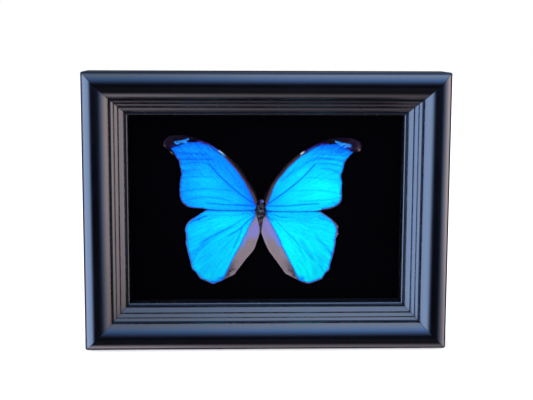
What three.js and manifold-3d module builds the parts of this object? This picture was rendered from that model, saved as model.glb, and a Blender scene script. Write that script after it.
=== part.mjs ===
// Framed blue morpho butterfly: a small landscape picture frame of dark moulded
// wood, deep enough to hold a spread specimen between its glass and a black board.
//
// Millimetres, +Z up. The frame stands upright on its bottom rail and faces -Y,
// X runs along its width. The origin is the middle of the underside.
//
// Depths are given as d, measured back from the front outer arris of the moulding
// (d = 0); the crest of the cushion stands in front of it, so its d is negative.

import * as THREE from "three";
import { mergeVertices } from "three/addons/utils/BufferGeometryUtils.js";
import Module from "manifold-3d";

// ---------------------------------------------------------------- dimensions

const FRAME_W = 231.1; // outer width
const FRAME_H = 176.7; // outer height
const CREST = 4.5; // cushion crest in front of the outer arris
const RAIL_BACK = 31.2; // back face of the rails
const RABBET_U = 24.8; // rabbet wall, in from the outer edge
const SIGHT_U = 27.6; // sight edge, in from the outer edge
const LIP_BACK = 14.3; // back of the lip that the glass bears on
const MITRE_GAP = 0.22; // each rail stops this far short, measured along it

const SHEET_GAP = 0.1; // between the stacked flat sheets
const GLASS_T = 2.0;
const SPACER_T = 7.0;
const SPACER_W = 2.2;
const BOARD_T = 2.5;
const BACKING_T = 3.0;
const SHEET_CLEAR = 0.5; // sheet edge to rabbet wall

const POINT_T = 0.4; // retaining points
const POINT_L = 14.0;
const POINT_W = 7.0;
const POINT_IN = 4.0; // how far a point is driven into the rail

const HANGER_L = 48.0;
const HANGER_H = 9.0;
const HANGER_T = 0.8;
const HANGER_Z = FRAME_H - 12.0;
const NAIL_X = 19.5;
const NAIL_HEAD_R = 2.3;
const NAIL_HEAD_T = 0.8;
const NAIL_R = 0.7;
const NAIL_IN = 9.0;

const SET_X = -0.37; // the specimen is drawn about its own middle and set this far across
const BODY_X = -2.9; // thorax centre
const BODY_Z = 87.0;
const BODY_D = 20.3;
const WING_T = 0.5;
const FORE_D = 19.9; // back of the forewings
const HIND_D = 20.7; // back of the hindwings
const ROOT_GAP = 0.3; // wing root to body

const PIN_R = 0.25;
const PIN_HEAD_R = 0.55;
const PIN_HOLE_R = 0.55;

// ------------------------------------------------------------------- derived

const GLASS_D = LIP_BACK + SHEET_GAP; // front of the glass
const SPACER_D = GLASS_D + GLASS_T + SHEET_GAP;
const BOARD_D = SPACER_D + SPACER_T + SHEET_GAP;
const BACKING_D = BOARD_D + BOARD_T + SHEET_GAP;
const POINT_D = BACKING_D + BACKING_T + 0.15;
const HANGER_D = RAIL_BACK + 0.15;
const NAIL_D = HANGER_D + HANGER_T + 0.15;
const DEEPEST = NAIL_D + NAIL_HEAD_T;
const MID_D = (DEEPEST - CREST) / 2; // d of the row origin's Y

const yOf = (d) => d - MID_D;

// ----------------------------------------------------------------- materials

const lacquer = () =>
  new THREE.MeshStandardMaterial({ color: 0x0b0b10, roughness: 0.32, metalness: 0 });
const MAT = {
  glass: new THREE.MeshStandardMaterial({ color: 0xf2f8f7, roughness: 0.03, metalness: 0, transparent: true, opacity: 0.2 }),
  spacer: new THREE.MeshStandardMaterial({ color: 0x0c0c0d, roughness: 0.8, metalness: 0 }),
  board: new THREE.MeshStandardMaterial({ color: 0x050506, roughness: 0.95, metalness: 0 }),
  backing: new THREE.MeshStandardMaterial({ color: 0x6f4f33, roughness: 0.75, metalness: 0 }),
  steel: new THREE.MeshStandardMaterial({ color: 0xb3b6ba, roughness: 0.35, metalness: 1 }),
  brass: new THREE.MeshStandardMaterial({ color: 0xb9974f, roughness: 0.35, metalness: 1 }),
  body: new THREE.MeshStandardMaterial({ color: 0x241f22, roughness: 0.9, metalness: 0 }),
  forewing: new THREE.MeshStandardMaterial({ color: 0x1296f2, roughness: 0.38, metalness: 0.35 }),
  hindwing: new THREE.MeshStandardMaterial({ color: 0x12b8f4, roughness: 0.38, metalness: 0.35 }),
};

// ------------------------------------------------------------------- helpers

const wasm = await Module();
wasm.setup();

function toSolid(geometry) {
  const g = geometry.clone();
  g.deleteAttribute("normal");
  g.deleteAttribute("uv");
  const merged = mergeVertices(g, 1e-5);
  return new wasm.Manifold(
    new wasm.Mesh({
      numProp: 3,
      vertProperties: new Float32Array(merged.attributes.position.array),
      triVerts: new Uint32Array(merged.index.array),
    }),
  );
}

function fromSolid(solid) {
  const m = solid.getMesh();
  const g = new THREE.BufferGeometry();
  g.setAttribute("position", new THREE.BufferAttribute(new Float32Array(m.vertProperties), 3));
  g.setIndex(new THREE.BufferAttribute(new Uint32Array(m.triVerts), 1));
  g.computeVertexNormals();
  return g;
}

function cut(geometry, ...tools) {
  let solid = toSolid(geometry);
  for (const t of tools) solid = solid.subtract(toSolid(t));
  return fromSolid(solid);
}

function shapeOf(points) {
  return new THREE.Shape(points.map(([x, y]) => new THREE.Vector2(x, y)));
}

// A flat plate: outline in (X, Z), its back face at depth `back`, `t` thick.
function plate(outline, back, t) {
  const g = new THREE.ExtrudeGeometry(shapeOf(outline), { depth: t, bevelEnabled: false });
  g.rotateX(Math.PI / 2); // outline's y becomes Z, thickness runs towards -Y
  g.translate(0, yOf(back), 0);
  return g;
}

const rect = (x0, z0, x1, z1) => [
  [x0, z0],
  [x1, z0],
  [x1, z1],
  [x0, z1],
];

// A round rod or turned piece whose axis runs along Y; profile of [radius, d].
function turned(profile, x, z, segments) {
  const g = new THREE.LatheGeometry(
    profile.map(([r, d]) => new THREE.Vector2(r, yOf(d))),
    segments,
  );
  g.translate(x, 0, z);
  return g;
}

// Moves a piece of the specimen, or its pin hole, from where it is drawn to its place.
const seat = (geometry) => geometry.translate(SET_X, 0, 0);

const group = new THREE.Group();
function add(name, geometry, material) {
  const mesh = new THREE.Mesh(geometry, material);
  mesh.name = name;
  group.add(mesh);
  return mesh;
}

// --------------------------------------------------------- the wood moulding

// Section of the moulding as [u, h]: u in from the outer edge, h forward of the
// outer arris. From inside out: the back, the rabbet and the lip, a groove, three
// sloping reeds parted by small steps, a quirk, the broad cushion, and the flat rim.
function mouldingSection() {
  return [
    [0, -RAIL_BACK], [RABBET_U, -RAIL_BACK], [RABBET_U, -LIP_BACK], [SIGHT_U, -LIP_BACK],
    [27.6, -12.95], [27.4, -12.35], [26.98, -11.95], [26.55, -11.78], [26.28, -11.88], [26.02, -11.92],
    [25.82, -11.6], [25.66, -10.8], [25.48, -10.2], [25.1, -9.72], [24.3, -9], [23.4, -8.25],
    [22.72, -7.72], [22.46, -7.45], [22.26, -6.75], [22.1, -6.3], [21.6, -5.76], [20.95, -5.18],
    [20.36, -4.68], [20.08, -4.42], [19.9, -4], [19.72, -3.62], [19.25, -3.12], [18.7, -2.6],
    [18.3, -2.22], [18.1, -2.1], [17.92, -2.28], [17.6, -2.24], [17.3, -1.5], [16.9, -0.25],
    [16.13, 0.58], [15.37, 1.33], [14.6, 2], [13.83, 2.59], [13.07, 3.09], [12.3, 3.51],
    [11.53, 3.85], [10.77, 4.12], [10, 4.31], [9.23, 4.43], [8.47, 4.49], [7.7, 4.5],
    [7.06, 4.48], [6.42, 4.41], [5.78, 4.29], [5.14, 4.13], [4.5, 3.91], [3.86, 3.64],
    [3.22, 3.29], [2.58, 2.85], [1.94, 2.28], [1.3, 1.47], [1.18, 0.25], [1.02, -0.03],
    [0.2, -0.08], [0, -0.34],
  ];
}

// One mitred rail lying along X with its outer face down at z = -half height of
// the frame; the ends are sheared so that each follows the 45 degree mitre.
function railGeometry(length, across) {
  const g = new THREE.ExtrudeGeometry(shapeOf(mouldingSection()), {
    depth: 1,
    bevelEnabled: false,
    steps: 1,
  });
  const pos = g.attributes.position;
  for (let i = 0; i < pos.count; i++) {
    const u = pos.getX(i);
    const h = pos.getY(i);
    const end = pos.getZ(i) > 0.5 ? 1 : -1;
    pos.setXYZ(i, end * (length / 2 - u - MITRE_GAP), yOf(-h), u - across / 2);
  }
  g.computeVertexNormals();
  return g;
}

function slotFor(x, across) {
  const g = new THREE.BoxGeometry(POINT_W + 0.7, POINT_T + 0.6, POINT_IN + 1.3);
  g.translate(x, yOf(POINT_D + POINT_T / 2), -across / 2 + RABBET_U - POINT_IN / 2 + 0.35);
  return g;
}

// A retaining point in the same lying-down position as its rail: a flat steel
// lozenge, its tip driven into the rabbet wall, its tail lying on the backing.
function pointGeometry(x, across) {
  const z0 = -across / 2 + RABBET_U;
  const outline = [
    [x, z0 - POINT_IN],
    [x + POINT_W / 2, z0 + 0.6],
    [x + POINT_W / 2 - 0.7, z0 + POINT_L - POINT_IN - 2.0],
    [x + POINT_W / 2 - 2.2, z0 + POINT_L - POINT_IN],
    [x - POINT_W / 2 + 2.2, z0 + POINT_L - POINT_IN],
    [x - POINT_W / 2 + 0.7, z0 + POINT_L - POINT_IN - 2.0],
    [x - POINT_W / 2, z0 + 0.6],
  ];
  return plate(outline, POINT_D + POINT_T, POINT_T);
}

const RAILS = [
  { name: "rail_bottom", length: FRAME_W, across: FRAME_H, turn: 0, points: { point_bottom_left: -42, point_bottom_right: 42 } },
  { name: "rail_right", length: FRAME_H, across: FRAME_W, turn: -Math.PI / 2, points: { point_right: 0 } },
  { name: "rail_top", length: FRAME_W, across: FRAME_H, turn: Math.PI, points: { point_top_right: -42, point_top_left: 42 } },
  { name: "rail_left", length: FRAME_H, across: FRAME_W, turn: Math.PI / 2, points: { point_left: 0 } },
];

for (const rail of RAILS) {
  let g = railGeometry(rail.length, rail.across);
  const tools = Object.values(rail.points).map((x) => slotFor(x, rail.across));
  if (rail.name === "rail_top") {
    // pilot holes for the hanger's nails, in the rail's own lying-down position
    for (const x of [-NAIL_X, NAIL_X]) {
      const hole = new THREE.CylinderGeometry(NAIL_R + 0.3, NAIL_R + 0.3, NAIL_IN + 3, 16);
      hole.translate(x, yOf(RAIL_BACK) - NAIL_IN / 2 + 0.9, FRAME_H / 2 - HANGER_Z);
      tools.push(hole);
    }
  }
  g = cut(g, ...tools);
  const turned90 = (geometry) => {
    geometry.rotateY(rail.turn);
    geometry.translate(0, 0, FRAME_H / 2);
    return geometry;
  };
  add(rail.name, turned90(g), lacquer());
  for (const [name, x] of Object.entries(rail.points)) {
    add(name, turned90(pointGeometry(x, rail.across)), MAT.steel);
  }
}

// ------------------------------------------- what lies in the rabbet, in order

const inX = FRAME_W / 2 - RABBET_U - SHEET_CLEAR;
const inZ0 = RABBET_U + SHEET_CLEAR;
const inZ1 = FRAME_H - RABBET_U - SHEET_CLEAR;

add("glass_pane", plate(rect(-inX, inZ0, inX, inZ1), GLASS_D + GLASS_T, GLASS_T), MAT.glass);

const sp = (x0, z0, x1, z1) => plate(rect(x0, z0, x1, z1), SPACER_D + SPACER_T, SPACER_T);
add("spacer_bottom", sp(-inX, inZ0, inX, inZ0 + SPACER_W), MAT.spacer);
add("spacer_top", sp(-inX, inZ1 - SPACER_W, inX, inZ1), MAT.spacer);
add("spacer_left", sp(-inX, inZ0 + SPACER_W + 0.3, -inX + SPACER_W, inZ1 - SPACER_W - 0.3), MAT.spacer);
add("spacer_right", sp(inX - SPACER_W, inZ0 + SPACER_W + 0.3, inX, inZ1 - SPACER_W - 0.3), MAT.spacer);

const pinHole = (front, back) =>
  turned(
    [
      [0, front],
      [PIN_HOLE_R, front],
      [PIN_HOLE_R, back],
      [0, back],
    ],
    BODY_X,
    BODY_Z,
    16,
  );

add(
  "display_board",
  cut(
    plate(rect(-inX, inZ0, inX, inZ1), BOARD_D + BOARD_T, BOARD_T),
    seat(pinHole(BOARD_D - 1, BOARD_D + BOARD_T + 1)),
  ),
  MAT.board,
);
add(
  "backing_board",
  plate(rect(-inX, inZ0, inX, inZ1), BACKING_D + BACKING_T, BACKING_T),
  MAT.backing,
);

// ------------------------------------------------------------ the wall hanger

function hangerOutline() {
  const p = [];
  const zTop = HANGER_Z + HANGER_H / 2;
  const zLow = HANGER_Z - HANGER_H / 2;
  const r = HANGER_H / 2;
  for (let i = 0; i <= 8; i++) {
    const a = Math.PI / 2 - (Math.PI * i) / 8;
    p.push([HANGER_L / 2 - r + r * Math.cos(a), HANGER_Z + r * Math.sin(a)]);
  }
  // the toothed notch in the lower edge, from right to left
  const half = 11.0;
  const teeth = 11;
  p.push([half + 1.6, zLow], [half, zLow + 2.6]);
  for (let i = 0; i < teeth; i++) {
    const x0 = half - (2 * half * i) / teeth;
    const x1 = half - (2 * half * (i + 1)) / teeth;
    p.push([(x0 + x1) / 2, zLow + 3.9], [x1, zLow + 2.6]);
  }
  p.push([-half - 1.6, zLow]);
  for (let i = 0; i <= 8; i++) {
    const a = -Math.PI / 2 - (Math.PI * i) / 8;
    p.push([-HANGER_L / 2 + r + r * Math.cos(a), HANGER_Z + r * Math.sin(a)]);
  }
  return p.filter(([x, z], i) => i === 0 || Math.hypot(x - p[i - 1][0], z - p[i - 1][1]) > 1e-6);
}

const nailHole = (x) =>
  turned(
    [
      [0, HANGER_D - 1],
      [NAIL_R + 0.3, HANGER_D - 1],
      [NAIL_R + 0.3, NAIL_D + 1],
      [0, NAIL_D + 1],
    ],
    x,
    HANGER_Z,
    16,
  );
add(
  "sawtooth_hanger",
  cut(plate(hangerOutline(), HANGER_D + HANGER_T, HANGER_T), nailHole(-NAIL_X), nailHole(NAIL_X)),
  MAT.brass,
);

for (const [name, x] of [
  ["hanger_nail_right", NAIL_X],
  ["hanger_nail_left", -NAIL_X],
]) {
  add(
    name,
    turned(
      [
        [0, RAIL_BACK - NAIL_IN],
        [NAIL_R, RAIL_BACK - NAIL_IN + 1.6],
        [NAIL_R, NAIL_D],
        [NAIL_HEAD_R, NAIL_D],
        [NAIL_HEAD_R, NAIL_D + 0.35],
        [NAIL_HEAD_R - 0.9, NAIL_D + NAIL_HEAD_T],
        [0, NAIL_D + NAIL_HEAD_T],
      ],
      x,
      HANGER_Z,
      20,
    ),
    MAT.brass,
  );
}

// -------------------------------------------------------------- the butterfly

// [radius, height above the thorax centre] from the tail up to the head
const BODY_PROFILE = [
  [0, -15.4],
  [0.45, -14.6],
  [0.9, -12.4],
  [1.3, -9.8],
  [1.52, -7.4],
  [1.5, -5.6],
  [1.58, -4.5],
  [2.15, -3.5],
  [2.75, -1.9],
  [2.95, 0],
  [2.8, 1.7],
  [2.25, 3.2],
  [1.4, 4.1],
  [1.1, 4.6],
  [1.35, 5.3],
  [1.25, 6.2],
  [0.75, 6.9],
  [0, 7.2],
];

function bodyGeometry(grow) {
  const g = new THREE.LatheGeometry(
    BODY_PROFILE.map(([r, z], i) => {
      const end = i === 0 ? -grow : i === BODY_PROFILE.length - 1 ? grow : 0;
      return new THREE.Vector2(r === 0 ? 0 : r + grow, z + end);
    }),
    24,
  );
  g.rotateX(Math.PI / 2);
  g.translate(BODY_X, yOf(BODY_D), BODY_Z);
  return g;
}

add("butterfly_body", seat(cut(bodyGeometry(0), pinHole(BODY_D - 5, BODY_D + 5))), MAT.body);

const FOREWING_LEFT = [
  [-6.3, 88.1], [-5.7, 90.4], [-5.08, 93.95], [-7.82, 101.33], [-10.99, 106.35], [-15.52, 114.08],
  [-20.48, 119.06], [-25.87, 123.13], [-32.22, 127.71], [-36.7, 130.41], [-41.62, 132.4],
  [-48.33, 134.64], [-55.03, 135.54], [-60.91, 134.89], [-64.06, 133.09], [-65.42, 130.39],
  [-64.55, 128.14], [-62.96, 126.73], [-61.44, 124.93], [-57.88, 122.22], [-55.6, 119.51],
  [-55.17, 116.35], [-54.29, 113.18], [-53.86, 110.46], [-54.79, 106.37], [-55.08, 101.37],
  [-55.12, 96.75], [-54.43, 94.01], [-53.09, 91.72], [-50.85, 89.89], [-47.69, 88.97],
  [-41.82, 88.51], [-36.84, 88.3], [-30.51, 87.57], [-21.39, 87.36], [-7.79, 87.5],
];
const FOREWING_RIGHT = [
  [0.45, 87.6], [1.49, 87.2], [12.4, 86.72], [21.95, 86.71], [31.52, 86.89], [36.26, 87.41],
  [41.99, 88.12], [45.81, 89.56], [48.14, 91.2], [49.54, 93.62], [49.76, 96.51], [49.44, 100.83],
  [49.64, 105.14], [48.87, 108.99], [49.8, 112.31], [50.91, 116.6], [52.03, 119.46],
  [54.38, 122.77], [56.75, 124.72], [61.01, 125.63], [61.7, 127.05], [61.85, 129.45],
  [60.4, 131.32], [57.07, 133.0], [52.34, 133.7], [47.56, 133.96], [42.85, 133.24],
  [38.16, 132.01], [33.4, 130.14], [28.72, 127.55], [22.61, 124.18], [18.38, 120.88],
  [13.63, 116.6], [9.4, 111.87], [5.68, 106.6], [1.89, 100.41], [-0.49, 95.58], [0.1, 91.0],
];
const HINDWING_LEFT = [
  [-6.4, 86.4], [-10.0, 89.4], [-18.0, 90.8], [-28.0, 90.2], [-36.6, 87.85], [-40.3, 85.57],
  [-44.77, 82.62], [-48.54, 80.33], [-50.76, 77.71], [-51.88, 74.29], [-51.38, 71.65],
  [-51.01, 69.02], [-51.42, 65.59], [-50.47, 61.42], [-49.58, 57.64], [-48.5, 53.46],
  [-47.42, 48.47], [-45.35, 46.54], [-43.86, 44.27], [-41.98, 41.79], [-38.98, 40.58],
  [-36.05, 39.23], [-33.76, 38.29], [-31.15, 39.41], [-27.75, 40.73], [-25.52, 42.26],
  [-20.62, 44.58], [-17.61, 48.37], [-13.89, 53.35], [-10.5, 57.52], [-7.51, 61.29],
  [-5.7, 66.26], [-4.21, 70.82], [-3.64, 75.3], [-4.23, 78.34], [-4.96, 82.29],
];
const HINDWING_RIGHT = [
  [0.6, 86.2], [-0.2, 84.2], [-1.38, 81.62], [-2.08, 76.82], [-2.07, 72.33], [-0.95, 68.89],
  [0.57, 65.12], [2.81, 60.53], [5.83, 56.34], [8.86, 52.07], [11.57, 48.26], [13.82, 45.18],
  [16.06, 44.04], [19.49, 42.09], [22.52, 40.54], [25.95, 38.98], [28.59, 38.23], [31.21, 38.96],
  [34.23, 40.09], [37.44, 41.08], [39.43, 45.09], [41.9, 47.35], [42.77, 51.63], [44.04, 55.42],
  [45.09, 60.01], [46.01, 65.33], [46.29, 69.17], [47.45, 70.69], [47.41, 73.74], [47.37, 76.72],
  [45.84, 78.63], [43.13, 80.95], [39.38, 83.59], [35.96, 85.84], [32.23, 86.63], [26.0, 89.0],
  [16.0, 90.2], [6.0, 89.0],
];

const rootCut = bodyGeometry(ROOT_GAP);
const wing = (name, outline, back, material) =>
  add(name, seat(cut(plate(outline, back, WING_T), rootCut)), material);
wing("forewing_left", FOREWING_LEFT, FORE_D, MAT.forewing);
wing("forewing_right", FOREWING_RIGHT, FORE_D, MAT.forewing);
wing("hindwing_left", HINDWING_LEFT, HIND_D, MAT.hindwing);
wing("hindwing_right", HINDWING_RIGHT, HIND_D, MAT.hindwing);

// The pin through the thorax into the board, its head on the hairy back.
add(
  "specimen_pin",
  seat(turned(
    [
      [0, BODY_D - 2.95 - 0.8],
      [0.42, BODY_D - 2.95 - 0.72],
      [PIN_HEAD_R, BODY_D - 2.95 - 0.5],
      [0.42, BODY_D - 2.95 - 0.3],
      [PIN_R, BODY_D - 2.95 - 0.2],
      [PIN_R, BOARD_D + BOARD_T - 0.8],
      [0, BOARD_D + BOARD_T - 0.2],
    ],
    BODY_X,
    BODY_Z,
    12,
  )),
  MAT.steel,
);

export default group;
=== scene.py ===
import math
import random

import bmesh
import bpy
import numpy as np
from mathutils import Matrix, Vector, geometry


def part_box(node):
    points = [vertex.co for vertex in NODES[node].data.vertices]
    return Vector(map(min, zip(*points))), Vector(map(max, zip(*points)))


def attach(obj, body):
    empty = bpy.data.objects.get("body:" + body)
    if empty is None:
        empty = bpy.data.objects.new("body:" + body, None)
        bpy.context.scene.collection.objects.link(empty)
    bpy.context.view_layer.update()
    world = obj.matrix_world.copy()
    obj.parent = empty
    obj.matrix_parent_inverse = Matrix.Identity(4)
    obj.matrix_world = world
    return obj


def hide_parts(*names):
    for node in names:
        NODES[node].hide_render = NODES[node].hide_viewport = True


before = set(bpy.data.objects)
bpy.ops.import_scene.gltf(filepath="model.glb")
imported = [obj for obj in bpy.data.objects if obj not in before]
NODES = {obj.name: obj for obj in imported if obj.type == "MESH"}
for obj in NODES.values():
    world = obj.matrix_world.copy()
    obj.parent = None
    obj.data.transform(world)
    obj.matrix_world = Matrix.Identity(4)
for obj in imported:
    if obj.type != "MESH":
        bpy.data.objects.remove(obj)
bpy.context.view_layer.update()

random.seed(11)
RNG = np.random.default_rng(11)

# Lengths are in millimetres until a mesh is made. x runs along the frame, z up, and d is the
# depth behind the frame's front arris.
MM = 0.001
D_ORIGIN = 14.3
W, H = 231.1, 176.7
SET_X = -0.37  # the specimen is drawn about its own middle and set this far across


def row(x, d, z):
    return (x * MM, (d - D_ORIGIN) * MM, z * MM)


def seat(x, d, z):
    return row(x + SET_X, d, z)


def lin(r, g, b):
    out = []
    for c in (r, g, b):
        c = c / 255.0
        out.append(c / 12.92 if c <= 0.04045 else ((c + 0.055) / 1.055) ** 2.4)
    return (*out, 1.0)


# ------------------------------------------------------------------ node materials
class Mat:
    def __init__(self, name):
        self.m = bpy.data.materials.new(name)
        self.m.use_nodes = True
        self.t = self.m.node_tree
        self.t.nodes.clear()
        self.out = self.node("ShaderNodeOutputMaterial")

    def node(self, kind, **props):
        n = self.t.nodes.new(kind)
        for k, v in props.items():
            setattr(n, k, v)
        return n

    def put(self, socket, value):
        if isinstance(value, bpy.types.NodeSocket):
            self.t.links.new(value, socket)
        else:
            socket.default_value = value

    def attr(self, name):
        return self.node("ShaderNodeAttribute", attribute_name=name).outputs["Fac"]

    def uv(self, name):
        return self.node("ShaderNodeUVMap", uv_map=name).outputs["UV"]

    def obj(self):
        return self.node("ShaderNodeTexCoord").outputs["Object"]

    def scale(self, vector, x, y, z):
        n = self.node("ShaderNodeMapping")
        self.put(n.inputs["Vector"], vector)
        n.inputs["Scale"].default_value = (x, y, z)
        return n.outputs["Vector"]

    def calc(self, op, a, b=0.0, c=0.0, clamp=False):
        n = self.node("ShaderNodeMath", operation=op, use_clamp=clamp)
        self.put(n.inputs[0], a)
        if len(n.inputs) > 1:
            self.put(n.inputs[1], b)
        if len(n.inputs) > 2:
            self.put(n.inputs[2], c)
        return n.outputs[0]

    def span(self, value, lo, hi, out_lo=0.0, out_hi=1.0, smooth=True):
        n = self.node(
            "ShaderNodeMapRange", interpolation_type="SMOOTHSTEP" if smooth else "LINEAR"
        )
        self.put(n.inputs["Value"], value)
        n.inputs["From Min"].default_value = lo
        n.inputs["From Max"].default_value = hi
        n.inputs["To Min"].default_value = out_lo
        n.inputs["To Max"].default_value = out_hi
        return n.outputs["Result"]

    def mix(self, fac, a, b):
        n = self.node("ShaderNodeMix", data_type="RGBA")
        self.put(n.inputs[0], fac)
        self.put(n.inputs[6], a)
        self.put(n.inputs[7], b)
        return n.outputs[2]

    def noise(self, vector, scale, detail=2.0, rough=0.5):
        n = self.node("ShaderNodeTexNoise")
        self.put(n.inputs["Vector"], vector)
        n.inputs["Scale"].default_value = scale
        n.inputs["Detail"].default_value = detail
        n.inputs["Roughness"].default_value = rough
        return n.outputs["Fac"]

    def ramp(self, fac, stops):
        n = self.node("ShaderNodeValToRGB")
        r = n.color_ramp
        while len(r.elements) < len(stops):
            r.elements.new(0.5)
        for e, (pos, col) in zip(r.elements, stops):
            e.position = pos
            e.color = col
        self.put(n.inputs["Fac"], fac)
        return n.outputs["Color"]

    def bump(self, height, distance, strength=1.0):
        n = self.node("ShaderNodeBump")
        self.put(n.inputs["Height"], height)
        n.inputs["Distance"].default_value = distance
        n.inputs["Strength"].default_value = strength
        return n.outputs["Normal"]

    def surface(self, color, rough, metallic=0.0, specular=None, normal=None, **more):
        p = self.node("ShaderNodeBsdfPrincipled")
        self.put(p.inputs["Base Color"], color)
        self.put(p.inputs["Roughness"], rough)
        p.inputs["Metallic"].default_value = metallic
        if specular is not None:
            p.inputs["Specular IOR Level"].default_value = specular
        if normal is not None:
            self.put(p.inputs["Normal"], normal)
        for k, v in more.items():
            p.inputs[k.replace("_", " ")].default_value = v
        self.t.links.new(p.outputs["BSDF"], self.out.inputs["Surface"])
        return self.m


def black_lacquer(name="black_lacquer", flat=False):
    k = Mat(name)
    uv = k.uv("grain")
    grain = k.noise(k.scale(uv, 60, 2400, 1), 1.0, 4, 0.6)
    peel = k.noise(k.obj(), 900.0, 2, 0.5)
    mottle = k.noise(k.obj(), 70.0, 3, 0.55)
    wear = k.calc("MULTIPLY", k.attr("arris"), k.span(k.noise(k.obj(), 420, 3, 0.6), 0.56, 0.74))
    color = k.mix(grain, lin(1, 1, 2), lin(2, 2, 4))
    color = k.mix(k.calc("MULTIPLY", wear, 0.5), color, lin(58, 48, 42))
    rough = k.calc("ADD", k.span(mottle, 0.3, 0.7, 0.185, 0.215), k.calc("MULTIPLY", wear, 0.2))
    if flat:
        # the flat outer sides carry a thinner, duller coat with the grain showing
        color = k.mix(k.span(grain, 0.35, 0.7), lin(9, 8, 9), lin(26, 24, 24))
        rough = k.span(grain, 0.3, 0.7, 0.5, 0.62)
        return k.surface(color, rough, specular=0.015, normal=k.bump(grain, 0.00004, 0.6), IOR=1.5)
    height = k.calc("ADD", k.calc("MULTIPLY", grain, 0.5), k.calc("MULTIPLY", peel, 0.5))
    return k.surface(color, rough, normal=k.bump(height, 0.000012, 0.5), IOR=1.5)


def bare_back():
    # The unseen back and rabbet of the rails: thin black stain over open grain.
    k = Mat("stained_back")
    uv = k.uv("grain")
    grain = k.noise(k.scale(uv, 45, 1500, 1), 1.0, 6, 0.65)
    fine = k.noise(k.scale(uv, 200, 5000, 1), 1.0, 3, 0.6)
    thin = k.span(k.noise(k.scale(uv, 30, 160, 1), 1.0, 3, 0.6), 0.45, 0.75)
    color = k.mix(grain, lin(18, 16, 15), lin(38, 33, 29))
    color = k.mix(k.calc("MULTIPLY", thin, 0.45), color, lin(88, 66, 45))
    height = k.calc("ADD", k.calc("MULTIPLY", grain, 0.7), k.calc("MULTIPLY", fine, 0.3))
    return k.surface(color, k.span(grain, 0.3, 0.7, 0.62, 0.8), normal=k.bump(height, 0.00012, 0.7))


def clear_glass():
    k = Mat("clear_glass")
    facing = k.node("ShaderNodeLayerWeight")
    facing.inputs["Blend"].default_value = 0.5
    mirror = k.calc("MULTIPLY_ADD", k.calc("POWER", facing.outputs["Facing"], 5.0), 0.93, 0.017)
    smear = k.noise(k.obj(), 35.0, 3, 0.6)
    clear = k.node("ShaderNodeBsdfTransparent")
    clear.inputs["Color"].default_value = (0.985, 0.992, 0.988, 1.0)
    gloss = k.node("ShaderNodeBsdfAnisotropic")
    gloss.inputs["Color"].default_value = (1, 1, 1, 1)
    k.put(gloss.inputs["Roughness"], k.span(smear, 0.35, 0.7, 0.02, 0.05))
    both = k.node("ShaderNodeMixShader")
    k.put(both.inputs[0], mirror)
    k.t.links.new(clear.outputs[0], both.inputs[1])
    k.t.links.new(gloss.outputs[0], both.inputs[2])
    k.t.links.new(both.outputs[0], k.out.inputs["Surface"])
    return k.m


def paper_black():
    k = Mat("black_board")
    fibre = k.noise(k.obj(), 1400.0, 4, 0.6)
    cloud = k.noise(k.obj(), 60.0, 3, 0.5)
    color = k.mix(k.calc("MULTIPLY", k.calc("ADD", fibre, cloud), 0.5), lin(1, 1, 3), lin(3, 3, 6))
    return k.surface(color, 0.95, specular=0.0, normal=k.bump(fibre, 0.00004, 0.6))


def spacer_black():
    k = Mat("spacer_black")
    grain = k.noise(k.scale(k.obj(), 900, 900, 900), 1.0, 3, 0.6)
    return k.surface(
        k.mix(grain, lin(4, 4, 5), lin(9, 9, 11)), 0.9, specular=0.05, normal=k.bump(grain, 0.00003, 0.5)
    )


def hardboard():
    k = Mat("hardboard")
    o = k.obj()
    speck = k.noise(o, 1800.0, 5, 0.7)
    felt = k.noise(o, 260.0, 4, 0.6)
    cloud = k.noise(o, 22.0, 3, 0.5)
    color = k.mix(felt, lin(96, 66, 42), lin(134, 97, 64))
    color = k.mix(k.calc("MULTIPLY", k.span(speck, 0.55, 0.75), 0.5), color, lin(66, 43, 27))
    color = k.mix(k.calc("MULTIPLY", cloud, 0.35), color, lin(112, 84, 60))
    height = k.calc("ADD", k.calc("MULTIPLY", felt, 0.6), k.calc("MULTIPLY", speck, 0.4))
    return k.surface(color, k.span(felt, 0.3, 0.7, 0.6, 0.75), normal=k.bump(height, 0.00015, 0.8))


def point_steel():
    k = Mat("point_steel")
    o = k.obj()
    brushed = k.noise(k.scale(o, 300, 300, 5000), 1.0, 3, 0.6)
    blotch = k.noise(o, 260.0, 4, 0.6)
    color = k.mix(brushed, lin(150, 151, 152), lin(186, 187, 188))
    color = k.mix(k.calc("MULTIPLY", k.span(blotch, 0.55, 0.75), 0.5), color, lin(110, 96, 84))
    return k.surface(color, k.span(blotch, 0.3, 0.7, 0.3, 0.5), metallic=1.0, normal=k.bump(brushed, 0.00001, 0.5))


def pin_steel():
    k = Mat("pin_steel")
    fine = k.noise(k.obj(), 3000.0, 2, 0.5)
    return k.surface(k.mix(fine, lin(108, 112, 126), lin(132, 138, 152)), k.span(fine, 0.3, 0.7, 0.4, 0.5), metallic=0.6)


def hanger_brass():
    k = Mat("hanger_brass")
    o = k.obj()
    rolled = k.noise(k.scale(o, 60, 900, 4200), 1.0, 3, 0.6)
    tarnish = k.noise(o, 240.0, 5, 0.65)
    color = k.mix(rolled, lin(186, 148, 78), lin(214, 178, 104))
    color = k.mix(k.calc("MULTIPLY", k.span(tarnish, 0.5, 0.75), 0.6), color, lin(120, 86, 44))
    return k.surface(color, k.span(tarnish, 0.3, 0.7, 0.28, 0.45), metallic=1.0, normal=k.bump(rolled, 0.00001, 0.6))


def floor_pale():
    k = Mat("floor_pale")
    soft = k.noise(k.obj(), 3.0, 2, 0.5)
    return k.surface(
        k.mix(soft, (0.95, 0.95, 0.95, 1), (0.97, 0.97, 0.97, 1)), 0.9, specular=0.0, Emission_Color=(1, 1, 1, 1), Emission_Strength=0.22
    )


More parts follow.
